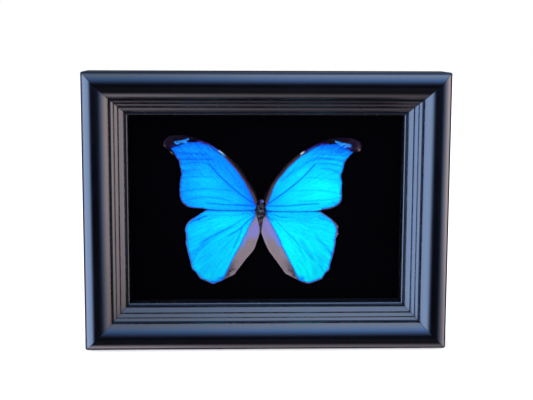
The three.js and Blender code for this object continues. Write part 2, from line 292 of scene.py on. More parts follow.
# ------------------------------------------------------------------ mesh helpers
def finish_piece(obj, nodes=()):
    if nodes:
        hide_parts(*nodes)
    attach(obj, "root")
    return obj


def mesh_object(name, verts, faces, materials, face_mats=None, smooth=True):
    me = bpy.data.meshes.new(name)
    me.from_pydata(verts, [], faces)
    for m in materials:
        me.materials.append(m)
    if face_mats is not None:
        me.polygons.foreach_set("material_index", np.asarray(face_mats, np.int32))
    me.polygons.foreach_set("use_smooth", np.full(len(me.polygons), smooth))
    me.update()
    o = bpy.data.objects.new(name, me)
    bpy.context.scene.collection.objects.link(o)
    return o


def point_attr(me, name, values):
    a = me.attributes.new(name, "FLOAT", "POINT")
    a.data.foreach_set("value", np.asarray(values, np.float32))


def eased(node, name, width, material, angle=30.0, segments=2):
    """A copy of a CAD solid with its arrises eased, in its place."""
    bm = bmesh.new()
    bm.from_mesh(NODES[node].data)
    bmesh.ops.remove_doubles(bm, verts=bm.verts, dist=2e-6)
    bmesh.ops.dissolve_limit(bm, angle_limit=math.radians(1.0), verts=bm.verts, edges=bm.edges)
    edges = [
        e
        for e in bm.edges
        if len(e.link_faces) == 2 and e.calc_face_angle(0.0) > math.radians(angle)
    ]
    bmesh.ops.bevel(
        bm, geom=edges, offset=width * MM, segments=segments, profile=0.5, affect="EDGES", clamp_overlap=True
    )
    bmesh.ops.triangulate(bm, faces=bm.faces)
    bmesh.ops.dissolve_degenerate(bm, dist=1e-7, edges=bm.edges)
    bmesh.ops.recalc_face_normals(bm, faces=bm.faces)
    me = bpy.data.meshes.new(name)
    bm.to_mesh(me)
    bm.free()
    me.materials.clear()
    me.materials.append(material)
    me.polygons.foreach_set("use_smooth", np.full(len(me.polygons), True))
    me.set_sharp_from_angle(angle=math.radians(38))
    o = bpy.data.objects.new(name, me)
    bpy.context.scene.collection.objects.link(o)
    return finish_piece(o, (node,))


# ------------------------------------------------------------------ moulding
# The slope of the cushion across its width: (u, tilt towards the opening in degrees). Its height
# follows from the slope, from the crest down both sides.
CREST_U, CREST_H = 7.7, 4.5
INNER_TILT = [(7.7, 0.0), (8.7, 2.6), (11.1, 19.0), (12.8, 29.5), (14.3, 38.0), (15.6, 44.0), (16.9, 48.5)]
OUTER_TILT = [(7.7, 0.0), (6.5, 9.5), (5.2, 19.5), (4.1, 26.0), (3.0, 33.0), (2.0, 44.0), (1.3, 57.0)]


def cushion(table, to, steps):
    us = np.linspace(table[0][0], to, steps)
    order = np.argsort([t[0] for t in table])
    tilt = np.interp(us, np.array([t[0] for t in table])[order], np.array([t[1] for t in table])[order])
    slope = np.tan(np.radians(tilt))
    drop = np.concatenate([[0], np.cumsum((slope[1:] + slope[:-1]) / 2 * np.abs(np.diff(us)))])
    return [(float(u), float(CREST_H - d)) for u, d in zip(us, drop)]


IN_SIDE = cushion(INNER_TILT, 16.9, 24)
OUT_SIDE = cushion(OUTER_TILT, 1.3, 22)
SECTION = (
    [
        (0, -31.2), (24.8, -31.2), (24.8, -14.3), (27.6, -14.3), (27.6, -12.95), (27.4, -12.35), (26.98, -11.95),
        (26.55, -11.78), (26.28, -11.88), (26.02, -11.92), (25.82, -11.6), (25.66, -10.8), (25.48, -10.2),
        (25.1, -9.72), (24.3, -9.0), (23.4, -8.25), (22.72, -7.72), (22.46, -7.45), (22.26, -6.75), (22.1, -6.3),
        (21.6, -5.76), (20.95, -5.18), (20.36, -4.68), (20.08, -4.42), (19.9, -4.0), (19.72, -3.62), (19.25, -3.12),
        (18.7, -2.6), (18.3, -2.22), (18.1, -2.1), (17.92, -2.28), (17.6, -2.24), (17.3, -1.5),
    ]
    + list(reversed(IN_SIDE))
    + OUT_SIDE[1:]
    + [(1.18, 0.25), (1.02, -0.03), (0.2, -0.08), (0, -0.34)]
)


def rounded_section():
    """The section with each corner eased, and for each point how far it is an outer arris."""
    pts, arris = [], []
    n = len(SECTION)
    for i in range(n):
        p = np.array(SECTION[i], float)
        a = np.array(SECTION[i - 1], float) - p
        b = np.array(SECTION[(i + 1) % n], float) - p
        la, lb = np.hypot(*a), np.hypot(*b)
        turn = math.degrees(math.acos(np.clip(np.dot(-a, b) / (la * lb), -1, 1)))
        cross = (-a[0]) * b[1] - (-a[1]) * b[0]
        back = p[1] < -14.0
        if turn < 9:
            pts.append(p)
            arris.append(0.0)
            continue
        r = 0.35 if back else 0.2
        t = min(r, 0.42 * la, 0.42 * lb)
        p0, p1 = p + a / la * t, p + b / lb * t
        k = 4
        for j in range(k + 1):
            s = j / k
            pts.append((1 - s) ** 2 * p0 + 2 * s * (1 - s) * p + s * s * p1)
            arris.append(1.0 if turn > 22 and cross > 0 else 0.0)
    # long plain runs get extra points, so that no face is a sliver
    out, oar = [], []
    m = len(pts)
    for i in range(m):
        a, b = pts[i], pts[(i + 1) % m]
        out.append(a)
        oar.append(arris[i])
        gap = np.hypot(*(b - a))
        k = int(gap // 3.0)
        for j in range(1, k + 1):
            out.append(a + (b - a) * j / (k + 1))
            oar.append(0.0)
    return np.array(out), np.array(oar)


PROFILE, ARRIS = rounded_section()
CORNER_R = 1.25
SEAM = 0.035
CHAMFER = 0.1


def inset(profile, by):
    nxt = np.roll(profile, -1, 0) - profile
    prv = profile - np.roll(profile, 1, 0)
    t = nxt / np.maximum(np.hypot(*nxt.T)[:, None], 1e-9) + prv / np.maximum(np.hypot(*prv.T)[:, None], 1e-9)
    t /= np.maximum(np.hypot(*t.T)[:, None], 1e-9)
    normal = np.stack([-t[:, 1], t[:, 0]], 1)
    area = 0.5 * np.sum(profile[:, 0] * np.roll(profile[:, 1], -1) - np.roll(profile[:, 0], -1) * profile[:, 1])
    return profile + normal * (by if area > 0 else -by)


INSET = inset(PROFILE, CHAMFER)


def rail_path(u, u_in, half):
    """Stations from the middle to the mitre, as (s, u, inset share)."""
    st = []
    s_end = half - max(u, CORNER_R) - 1.4
    for i in range(9):
        st.append((s_end * i / 8, u, 0))
    for j in range(6):
        a = math.radians(45) * j / 5
        if u < CORNER_R:
            s = half - CORNER_R + (CORNER_R - u) * math.sin(a)
            v = CORNER_R - (CORNER_R - u) * math.cos(a)
            s -= (SEAM + CHAMFER) * j / 5
        else:
            s = half - u - 1.0 * (1 - j / 5) - (SEAM + CHAMFER) * j / 5
            v = u
        st.append((s, v, 0))
    if u_in < CORNER_R:
        v = CORNER_R - (CORNER_R - u_in) * math.cos(math.radians(45))
    else:
        v = u_in
    st.append((half - v - SEAM, v, 1))
    return st


def make_rail(name, half, place, front, back):
    paths = [rail_path(u, ui, half) for (u, _), (ui, _) in zip(PROFILE, INSET)]
    k = len(paths[0])
    cols = 2 * k - 1
    n = len(PROFILE)
    verts = []
    girth = np.concatenate([[0], np.cumsum(np.hypot(*(np.roll(PROFILE, -1, 0) - PROFILE).T))])
    for i in range(n):
        h, h_in = PROFILE[i][1], INSET[i][1]
        run = paths[i]
        line = [(-s, v, f) for s, v, f in reversed(run)] + run[1:]
        for s, v, f in line:
            verts.append(row(*place(s, v, h_in if f else h)))
    faces, mats, uvs = [], [], []
    for i in range(n):
        j = (i + 1) % n
        mid = (PROFILE[i] + PROFILE[j]) / 2
        is_back = mid[1] < -30.6 or (mid[1] < -14.35 and mid[0] > 20)
        for c in range(cols - 1):
            faces.append((i * cols + c, j * cols + c, j * cols + c + 1, i * cols + c + 1))
            mats.append(1 if is_back else (2 if mid[0] < 0.03 else 0))
    caps = [tuple(i * cols for i in range(n)), tuple(i * cols + cols - 1 for i in reversed(range(n)))]
    faces += caps
    mats += [1, 1]
    o = mesh_object(name, verts, faces, [front, back, FLAT], mats)
    me = o.data
    point_attr(me, "arris", np.repeat(ARRIS, cols))
    uv = me.uv_layers.new(name="grain")
    along = np.zeros(len(verts))
    for i in range(n):
        run = paths[i]
        line = [-s for s, v, f in reversed(run)] + [s for s, v, f in run[1:]]
        along[i * cols : (i + 1) * cols] = np.array(line) * MM
    across = np.repeat(girth[:n], cols) * MM
    loops = np.zeros(len(me.loops), np.int32)
    me.loops.foreach_get("vertex_index", loops)
    flat = np.stack([along[loops] + 0.31 * len(name), across[loops]], 1)
    # the last strip closes the section, so its far side runs on past the start
    starts = np.zeros(len(me.polygons), np.int32)
    me.polygons.foreach_get("loop_start", starts)
    first = (n - 1) * (cols - 1)
    for f in range(first, first + cols - 1):
        for li in range(starts[f], starts[f] + 4):
            if loops[li] < cols:
                flat[li, 1] = girth[n] * MM
    uv.data.foreach_set("uv", flat.astype(np.float32).ravel())
    bm = bmesh.new()
    bm.from_mesh(me)
    bmesh.ops.recalc_face_normals(bm, faces=bm.faces)
    big = [f for f in bm.faces if len(f.verts) > 4]
    bmesh.ops.triangulate(bm, faces=big)
    bm.to_mesh(me)
    bm.free()
    me.set_sharp_from_angle(angle=math.radians(32))
    return finish_piece(o, (name,))


LACQUER, STAINED, FLAT = black_lacquer(), bare_back(), black_lacquer("black_lacquer_sides", True)
make_rail("rail_bottom", W / 2, lambda s, u, h: (s, -h, u), LACQUER, STAINED)
make_rail("rail_top", W / 2, lambda s, u, h: (-s, -h, H - u), LACQUER, STAINED)
make_rail("rail_right", H / 2, lambda s, u, h: (W / 2 - u, -h, H / 2 + s), LACQUER, STAINED)
make_rail("rail_left", H / 2, lambda s, u, h: (-W / 2 + u, -h, H / 2 - s), LACQUER, STAINED)

# ------------------------------------------------------------------ flat parts
NODES["glass_pane"].data.materials.clear()
NODES["glass_pane"].data.materials.append(clear_glass())
SPACER, BOARD, FIBRE = spacer_black(), paper_black(), hardboard()
for side in ("bottom", "top", "left", "right"):
    eased(f"spacer_{side}", f"spacer_{side}_eased", 0.25, SPACER)
eased("display_board", "display_board_eased", 0.25, BOARD)
eased("backing_board", "backing_board_eased", 0.35, FIBRE)
STEEL, BRASS = point_steel(), hanger_brass()
for p in ("bottom_left", "bottom_right", "right", "top_right", "top_left", "left"):
    eased(f"point_{p}", f"point_{p}_eased", 0.1, STEEL)
eased("sawtooth_hanger", "sawtooth_hanger_eased", 0.14, BRASS, segments=3)


def turned_piece(name, profile, x, z, material, node, steps=40):
    """profile is (radius, d) from front to back, on the axis at both ends."""
    verts, faces = [row(x, profile[0][1], z)], []
    for r, d in profile[1:-1]:
        for i in range(steps):
            a = 2 * math.pi * i / steps
            verts.append(row(x + r * math.cos(a), d, z + r * math.sin(a)))
    verts.append(row(x, profile[-1][1], z))
    rings = len(profile) - 2
    for i in range(steps):
        j = (i + 1) % steps
        faces.append((0, 1 + i, 1 + j))
        for k in range(rings - 1):
            faces.append((1 + k * steps + i, 1 + (k + 1) * steps + i, 1 + (k + 1) * steps + j, 1 + k * steps + j))
        faces.append((len(verts) - 1, 1 + (rings - 1) * steps + j, 1 + (rings - 1) * steps + i))
    o = mesh_object(name, verts, faces, [material])
    bm = bmesh.new()
    bm.from_mesh(o.data)
    bmesh.ops.recalc_face_normals(bm, faces=bm.faces)
    bm.to_mesh(o.data)
    bm.free()
    o.data.set_sharp_from_angle(angle=math.radians(40))
    return finish_piece(o, (node,))


for side in ("left", "right"):
    lo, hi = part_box(f"hanger_nail_{side}")
    cx, cz = (lo[0] + hi[0]) / 2 / MM, (lo[2] + hi[2]) / 2 / MM
    d0, d1 = lo[1] / MM + D_ORIGIN, hi[1] / MM + D_ORIGIN
    rh = (hi[0] - lo[0]) / 2 / MM
    prof = [(0, d0), (0.3, d0 + 0.6), (0.62, d0 + 1.4), (0.62, d1 - 0.8), (rh * 0.93, d1 - 0.79), (rh, d1 - 0.66)]
    for i in range(7):
        a = math.radians(10 + 80 * i / 7)
        prof.append((rh * math.cos(a), d1 - 0.62 + 0.62 * math.sin(a) - 0.0))
    prof.append((0, d1))
    turned_piece(f"hanger_nail_{side}_domed", prof, cx, cz, BRASS, f"hanger_nail_{side}")


# ------------------------------------------------------------------ planar geometry
def segs(line, closed=False):
    a = np.asarray(line, float)
    b = np.roll(a, -1, 0) if closed else a[1:]
    return (a if closed else a[:-1]), b


def dist_line(P, line, closed=False):
    a, b = segs(line, closed)
    best = np.full(len(P), 1e9)
    for p, q in zip(a, b):
        v = q - p
        t = np.clip(((P - p) @ v) / max(float(v @ v), 1e-12), 0, 1)
        best = np.minimum(best, np.hypot(*(P - p - t[:, None] * v).T))
    return best


def inside(P, poly):
    a, b = segs(poly, True)
    odd = np.zeros(len(P), bool)
    for p, q in zip(a, b):
        cond = (p[1] > P[:, 1]) != (q[1] > P[:, 1])
        with np.errstate(divide="ignore", invalid="ignore"):
            xi = (q[0] - p[0]) * (P[:, 1] - p[1]) / (q[1] - p[1]) + p[0]
        odd ^= cond & (P[:, 0] < xi)
    return odd


def signed(P, poly):
    d = dist_line(P, poly, True)
    return np.where(inside(P, poly), d, -d)


def catmull(pts, step, closed=False):
    pts = [np.array(p, float) for p in pts]
    n = len(pts)
    out = []
    last = n if closed else n - 1
    for i in range(last):
        p1, p2 = pts[i], pts[(i + 1) % n]
        p0 = pts[i - 1] if closed or i > 0 else 2 * p1 - p2
        p3 = pts[(i + 2) % n] if closed or i + 2 < n else 2 * p2 - p1
        d01, d12, d23 = (max(np.hypot(*(b - a)), 1e-6) ** 0.5 for a, b in ((p0, p1), (p1, p2), (p2, p3)))
        t0, t1 = 0.0, d01
        t2 = t1 + d12
        t3 = t2 + d23
        k = max(1, int(round(np.hypot(*(p2 - p1)) / step)))
        for j in range(k):
            t = t1 + (t2 - t1) * j / k
            a1 = (t1 - t) / (t1 - t0) * p0 + (t - t0) / (t1 - t0) * p1
            a2 = (t2 - t) / (t2 - t1) * p1 + (t - t1) / (t2 - t1) * p2
            a3 = (t3 - t) / (t3 - t2) * p2 + (t - t2) / (t3 - t2) * p3
            b1 = (t2 - t) / (t2 - t0) * a1 + (t - t0) / (t2 - t0) * a2
            b2 = (t3 - t) / (t3 - t1) * a2 + (t - t1) / (t3 - t1) * a3
            out.append((t2 - t) / (t2 - t1) * b1 + (t - t1) / (t2 - t1) * b2)
    if not closed:
        out.append(pts[-1])
    return np.array(out)


def smooth(x, lo, hi):
    t = np.clip((x - lo) / (hi - lo), 0, 1)
    return t * t * (3 - 2 * t)


def ripple(P, wave, seed):
    """A smooth wandering field of about -1 to 1."""
    r = np.random.default_rng(seed)
    out = np.zeros(len(P))
    for i in range(7):
        a = r.uniform(0, math.pi)
        k = 2 * math.pi / (wave * r.uniform(0.7, 1.5))
        out += np.sin(k * (P[:, 0] * math.cos(a) + P[:, 1] * math.sin(a)) + r.uniform(0, 6.28))
    return out / 3.2


def blob(P, x, z, rx, rz=None, turn=0.0):
    rz = rz or rx
    c, s = math.cos(math.radians(turn)), math.sin(math.radians(turn))
    u = (P[:, 0] - x) * c + (P[:, 1] - z) * s
    v = -(P[:, 0] - x) * s + (P[:, 1] - z) * c
    return np.exp(-((u / rx) ** 2) - (v / rz) ** 2)


def stroke(P, line, width, step=1.0):
    return np.exp(-((dist_line(P, catmull(line, step)) / width) ** 2))


# ------------------------------------------------------------------ wings
FOREWING_LEFT = [
    [-6.3, 88.1], [-5.7, 90.4], [-5.08, 93.95], [-7.82, 101.33], [-10.99, 106.35], [-15.52, 114.08],
    [-20.48, 119.06], [-25.87, 123.13], [-32.22, 127.71], [-36.7, 130.41], [-41.62, 132.4],
    [-48.33, 134.64], [-55.03, 135.54], [-60.91, 134.89], [-64.06, 133.09], [-65.42, 130.39],
    [-64.55, 128.14], [-62.96, 126.73], [-61.44, 124.93], [-57.88, 122.22], [-55.6, 119.51],
    [-55.17, 116.35], [-54.29, 113.18], [-53.86, 110.46], [-54.79, 106.37], [-55.08, 101.37],
    [-55.12, 96.75], [-54.43, 94.01], [-53.09, 91.72], [-50.85, 89.89], [-47.69, 88.97],
    [-41.82, 88.51], [-36.84, 88.3], [-30.51, 87.57], [-21.39, 87.36], [-7.79, 87.5],
]
FOREWING_RIGHT = [
    [0.45, 87.6], [1.49, 87.2], [12.4, 86.72], [21.95, 86.71], [31.52, 86.89], [36.26, 87.41],
    [41.99, 88.12], [45.81, 89.56], [48.14, 91.2], [49.54, 93.62], [49.76, 96.51], [49.44, 100.83],
    [49.64, 105.14], [48.87, 108.99], [49.8, 112.31], [50.91, 116.6], [52.03, 119.46],
    [54.38, 122.77], [56.75, 124.72], [61.01, 125.63], [61.7, 127.05], [61.85, 129.45],
    [60.4, 131.32], [57.07, 133.0], [52.34, 133.7], [47.56, 133.96], [42.85, 133.24],
    [38.16, 132.01], [33.4, 130.14], [28.72, 127.55], [22.61, 124.18], [18.38, 120.88],
    [13.63, 116.6], [9.4, 111.87], [5.68, 106.6], [1.89, 100.41], [-0.49, 95.58], [0.1, 91.0],
]
HINDWING_LEFT = [
    [-6.4, 86.4], [-10.0, 89.4], [-18.0, 90.8], [-28.0, 90.2], [-36.6, 87.85], [-40.3, 85.57],
    [-44.77, 82.62], [-48.54, 80.33], [-50.76, 77.71], [-51.88, 74.29], [-51.38, 71.65],
    [-51.01, 69.02], [-51.42, 65.59], [-50.47, 61.42], [-49.58, 57.64], [-48.5, 53.46],
    [-47.42, 48.47], [-45.35, 46.54], [-43.86, 44.27], [-41.98, 41.79], [-38.98, 40.58],
    [-36.05, 39.23], [-33.76, 38.29], [-31.15, 39.41], [-27.75, 40.73], [-25.52, 42.26],
    [-20.62, 44.58], [-17.61, 48.37], [-13.89, 53.35], [-10.5, 57.52], [-7.51, 61.29],
    [-5.7, 66.26], [-4.21, 70.82], [-3.64, 75.3], [-4.23, 78.34], [-4.96, 82.29],
]
HINDWING_RIGHT = [
    [0.6, 86.2], [-0.2, 84.2], [-1.38, 81.62], [-2.08, 76.82], [-2.07, 72.33], [-0.95, 68.89],
    [0.57, 65.12], [2.81, 60.53], [5.83, 56.34], [8.86, 52.07], [11.57, 48.26], [13.82, 45.18],
    [16.06, 44.04], [19.49, 42.09], [22.52, 40.54], [25.95, 38.98], [28.59, 38.23], [31.21, 38.96],
    [34.23, 40.09], [37.44, 41.08], [39.43, 45.09], [41.9, 47.35], [42.77, 51.63], [44.04, 55.42],
    [45.09, 60.01], [46.01, 65.33], [46.29, 69.17], [47.45, 70.69], [47.41, 73.74], [47.37, 76.72],
    [45.84, 78.63], [43.13, 80.95], [39.38, 83.59], [35.96, 85.84], [32.23, 86.63], [26.0, 89.0],
    [16.0, 90.2], [6.0, 89.0],
]
BODY_X, BODY_Z, BODY_D = -2.9, 87.0, 20.3


def camber(P):
    """How far the spread wings fall back from flat, away from the body."""
    r = np.hypot(P[:, 0] - BODY_X, P[:, 1] - BODY_Z)
    return 0.9 * (r / 60.0) ** 2 + 0.28 * ripple(P, 46.0, 5) * smooth(r, 4, 25)


def wing_mesh(name, outline, base_d, veins, node, material, paint, grid=0.56, swell=0.3):
    """A closed, thin, gently folded membrane with raised veins. paint gives its point attributes."""
    edge = catmull(outline, 0.45, True)
    nxt, prv = np.roll(edge, -1, 0), np.roll(edge, 1, 0)
    t = nxt - prv
    t /= np.hypot(*t.T)[:, None]
    area = 0.5 * np.sum(edge[:, 0] * nxt[:, 1] - nxt[:, 0] * edge[:, 1])
    out_n = np.stack([t[:, 1], -t[:, 0]], 1) * (1 if area > 0 else -1)
    wob = ripple(edge, 1.9, 17) * 0.07 + ripple(edge, 5.0, 18) * 0.05
    away = smooth(np.hypot(edge[:, 0] - BODY_X, edge[:, 1] - BODY_Z), 5, 12)
    edge = edge + out_n * (swell * away + wob * away)[:, None]
    rng = np.random.default_rng(len(name))
    lo, hi = edge.min(0), edge.max(0)
    gx = np.arange(lo[0], hi[0], grid)
    gz = np.arange(lo[1], hi[1], grid * 0.866)
    X, Z = np.meshgrid(gx, gz)
    X = X + (np.arange(len(gz)) % 2)[:, None] * grid / 2
    G = np.stack([X.ravel(), Z.ravel()], 1) + rng.uniform(-0.1, 0.1, (X.size, 2)) * grid
    G = G[signed(G, edge) > 0.32]
    lines = [catmull(v[0], 0.5) for v in veins]
    keep = np.ones(len(G), bool)
    for ln in lines:
        keep &= dist_line(G, ln) > 0.52
    G = G[keep]
    extra = []
    for ln in lines:
        tt = np.gradient(ln, axis=0)
        tt /= np.maximum(np.hypot(*tt.T)[:, None], 1e-9)
        nn = np.stack([-tt[:, 1], tt[:, 0]], 1)
        for off in (0.0, 0.15, -0.15, 0.34, -0.34):
            extra.append(ln + nn * off)
    E = np.concatenate(extra)
    E = E[signed(E, edge) > 0.22]
    taken = {}
    uniq = []
    for p in E:
        key = (round(p[0] / 0.13), round(p[1] / 0.13))
        if key in taken:
            continue
        taken[key] = True
        uniq.append(p)
    P = np.concatenate([edge, np.array(uniq), G])
    n_edge = len(edge)
    res = geometry.delaunay_2d_cdt(
        [Vector((float(a), float(b))) for a, b in P], [(i, (i + 1) % n_edge) for i in range(n_edge)], [], 1, 1e-5
    )
    V = np.array([(v.x, v.y) for v in res[0]])
    T = np.array([f for f in res[2] if len(f) == 3])
    mid = V[T].mean(1)
    T = T[signed(mid, edge) > -0.02]
    a = V[T[:, 1]] - V[T[:, 0]]
    b = V[T[:, 2]] - V[T[:, 0]]
    flip = (a[:, 0] * b[:, 1] - a[:, 1] * b[:, 0]) < 0
    T[flip] = T[flip][:, ::-1]
    used = np.unique(T)
    remap = -np.ones(len(V), int)
    remap[used] = np.arange(len(used))
    V, T = V[used], remap[T]
    n = len(V)
    # relief
    near = np.full(n, 1e9)
    ridge = np.zeros(n)
    for (pts, strength), ln in zip(veins, lines):
        d = dist_line(V, ln)
        near = np.minimum(near, d)
        ridge = np.maximum(ridge, (0.45 + 0.55 * strength) * np.exp(-((d / 0.2) ** 2)))
    rim = dist_line(V, edge, True)
    body_r = np.hypot(V[:, 0] - BODY_X, V[:, 1] - BODY_Z)
    fold = 0.16 * (1 - np.exp(-((near / 2.0) ** 2))) * smooth(rim, 0, 2.5)
    mid_d = base_d + camber(V) + fold + 0.05 * ripple(V, 7.0, 31) + 0.12 * ripple(V, 15.0, 8) * smooth(6 - rim, 0, 6)
    thick = 0.05 + 0.07 * smooth(rim, 0, 1.0)
    front = mid_d - thick / 2 - 0.1 * ridge
    back = mid_d + thick / 2 + 0.07 * ridge
    verts = [seat(V[i, 0], front[i], V[i, 1]) for i in range(n)] + [seat(V[i, 0], back[i], V[i, 1]) for i in range(n)]
    faces = [tuple(t) for t in T] + [(t[2] + n, t[1] + n, t[0] + n) for t in T]
    count = {}
    for t in T:
        for i in range(3):
            e = (int(t[i]), int(t[(i + 1) % 3]))
            count[e] = count.get(e, 0) + 1
    for i, j in list(count):
        if (j, i) not in count:
            faces.append((j, i, i + n, j + n))
    o = mesh_object(name, verts, faces, [material])
    me = o.data
    bm = bmesh.new()
    bm.from_mesh(me)
    bmesh.ops.recalc_face_normals(bm, faces=bm.faces)
    bm.to_mesh(me)
    bm.free()
    fields = paint(V, rim)
    line_mask = np.zeros(n)
    for (pts, strength), ln in zip(veins, lines):
        d = dist_line(V, ln)
        fade = 1.0
        line_mask = np.maximum(
            line_mask, np.minimum(1.0, strength * 1.35 * (0.75 * np.exp(-((d / 0.32) ** 2)) + 0.25 * np.exp(-((d / 0.95) ** 2)))) * fade
        )
    fields["vein"] = line_mask
    fields["rim"] = rim
    for key, val in fields.items():
        point_attr(me, key, np.concatenate([val, val]))
    ang = np.arctan2(V[:, 1] - BODY_Z, np.abs(V[:, 0] - BODY_X))
    uvv = np.stack([ang * 1.0, body_r * MM * 10], 1)
    uvv = np.concatenate([uvv, uvv])
    loops = np.zeros(len(me.loops), np.int32)
    me.loops.foreach_get("vertex_index", loops)
    uv = me.uv_layers.new(name="fan")
    uv.data.foreach_set("uv", uvv[loops].astype(np.float32).ravel())
    return finish_piece(o, (node,))


BLUES = [
    (0.0, lin(3, 76, 214)),
    (0.2, lin(5, 113, 229)),
    (0.4, lin(6, 144, 232)),
    (0.6, lin(5, 174, 232)),
    (0.8, lin(4, 200, 233)),
    (1.0, lin(4, 229, 233)),
]


def wing_material(name, hind=False):
    k = Mat(name)
    fan, o = k.uv("fan"), k.obj()
    broad = k.noise(k.scale(fan, 24, 2.2, 1), 1.0, 3, 0.55)
    fibres = k.noise(k.scale(fan, 62, 8, 1), 1.0, 4, 0.6)
    fine = k.noise(k.scale(fan, 210, 26, 1), 1.0, 3, 0.65)
    scales = k.noise(o, 3200.0, 3, 0.6)
    crumb = k.noise(o, 900.0, 3, 0.6)
    # The brightness field is partly the wing's own pattern and partly painted sheen: the iridescent blue is set darker
    # on the left wings and lighter on the right ones, as the light falls.
    tone_and_painted_sheen = k.attr("tone_and_painted_sheen")
    for field, share in ((broad, 0.4 if hind else 0.3), (fibres, 0.8 if hind else 0.55), (fine, 0.7), (crumb, 0.5), (scales, 0.2)):
        tone_and_painted_sheen = k.calc("ADD", tone_and_painted_sheen, k.calc("MULTIPLY", k.calc("SUBTRACT", field, 0.5), share))
    blue = k.ramp(k.calc("ADD", tone_and_painted_sheen, 0.0, clamp=True), BLUES)
    vein = k.calc("MULTIPLY", k.attr("vein"), k.span(fine, 0.3, 0.62, 0.6, 1.0))
    blue = k.mix(vein, blue, lin(2, 62, 224))
    # soft, slightly ragged border of the blue scales
    ragged = k.calc("MULTIPLY", k.calc("SUBTRACT", crumb, 0.5), 0.9)
    ragged = k.calc("ADD", ragged, k.calc("MULTIPLY", k.calc("SUBTRACT", fibres, 0.5), 0.9))
    border = k.calc("ADD", k.attr("blue"), ragged)
    blue = k.mix(k.span(border, 0.0, 1.3, 0.85, 0.0), blue, lin(2, 76, 226))
    if hind:
        ground = k.mix(k.attr("violet"), lin(132, 117, 126), lin(124, 120, 200))
        ground = k.mix(k.attr("pale"), ground, lin(148, 132, 148))
        ground = k.mix(k.attr("streak"), ground, lin(84, 128, 232))
        ground = k.mix(k.calc("MULTIPLY", k.span(fine, 0.35, 0.7), 0.35), ground, lin(96, 85, 96))
        ground = k.mix(k.calc("MULTIPLY", k.span(crumb, 0.5, 0.75), 0.22), ground, lin(158, 142, 158))
        dark = k.calc("MULTIPLY", k.attr("dark"), k.span(crumb, 0.3, 0.6, 0.7, 1.0))
        ground = k.mix(dark, ground, lin(34, 26, 38))
        ground = k.mix(k.attr("spot"), ground, lin(10, 8, 14))
        outer = k.mix(k.span(crumb, 0.35, 0.65), lin(24, 9, 14), lin(86, 50, 50))
        ground = k.mix(k.attr("fringe"), ground, outer)
        ground = k.mix(k.attr("chip"), ground, lin(170, 160, 158))
        color = k.mix(k.span(border, -0.16, 0.16), ground, blue)
    else:
        cloud = k.noise(o, 330.0, 3, 0.6)
        ground = k.mix(k.calc("MULTIPLY", k.attr("apex"), k.span(cloud, 0.3, 0.68, 0.45, 1.0)), lin(4, 3, 6), lin(36, 24, 48))
        ground = k.mix(k.calc("MULTIPLY", k.attr("costa"), k.span(fine, 0.3, 0.7, 0.6, 1.0)), ground, lin(88, 74, 82))
        ground = k.mix(k.attr("redrim"), ground, lin(104, 50, 58))
        ground = k.mix(k.attr("violet"), ground, lin(62, 28, 118))
        ground = k.mix(k.calc("MULTIPLY", k.span(crumb, 0.45, 0.75), 0.3), ground, lin(16, 10, 20))
        ground = k.mix(k.attr("chip"), ground, lin(150, 136, 132))
        color = k.mix(k.span(border, -0.16, 0.16), ground, blue)
        patch = k.calc("ADD", k.attr("patch"), ragged)
        pcol = k.mix(k.span(fibres, 0.36, 0.64), lin(4, 84, 222), lin(44, 150, 236))
        color = k.mix(k.span(patch, -0.15, 0.2), color, pcol)
        color = k.mix(k.attr("dusk"), color, lin(10, 26, 84))
        color = k.mix(k.attr("haze"), color, lin(74, 140, 160))
        color = k.mix(k.attr("spot"), color, lin(196, 214, 216))
    rough = k.span(scales, 0.3, 0.7, 0.5, 0.62)
    height = k.calc("ADD", k.calc("MULTIPLY", fine, 0.6), k.calc("MULTIPLY", scales, 0.4))
    return k.surface(color, rough, specular=0.015, normal=k.bump(height, 0.00005, 0.5))


FL_BLUE = [
    [-60.8, 127.3], [-59.3, 125.4], [-58.4, 124.8], [-58.7, 124.4], [-58.1, 123.3], [-57.3, 122.7], [-57.5, 122.1],
    [-56.5, 120.6], [-55.4, 119.8], [-55.5, 119.0], [-55.0, 117.4], [-55.0, 115.9], [-54.3, 114.4], [-54.1, 112.7],
    [-53.8, 110.5], [-54.3, 108.8], [-54.8, 106.6], [-54.95, 104.4], [-54.95, 101.4], [-55.0, 98.8], [-54.9, 96.2],
    [-54.2, 93.6], [-52.9, 91.8], [-50.8, 90.1], [-48.2, 89.1], [-45.2, 88.7], [-40.0, 88.4], [-39.2, 84.0], [-4.0, 84.0],
    [-5.2, 90.2], [-6.9, 91.4], [-7.1, 92.2], [-8.1, 95.3], [-9.4, 98.3], [-11.2, 101.4], [-12.9, 104.8], [-15.1, 108.4],
    [-17.6, 112.0], [-21.1, 116.3], [-24.1, 119.5], [-26.2, 121.7], [-26.6, 123.3], [-29.4, 125.4], [-31.8, 127.0],
    [-34.8, 128.7], [-37.1, 129.9], [-39.0, 130.1], [-41.6, 131.3], [-43.3, 131.4], [-45.0, 131.0], [-46.7, 131.2],
    [-48.8, 131.2], [-50.1, 131.0], [-51.4, 131.1], [-52.7, 130.4], [-54.2, 129.6], [-56.1, 128.9], [-59.1, 128.1],
]
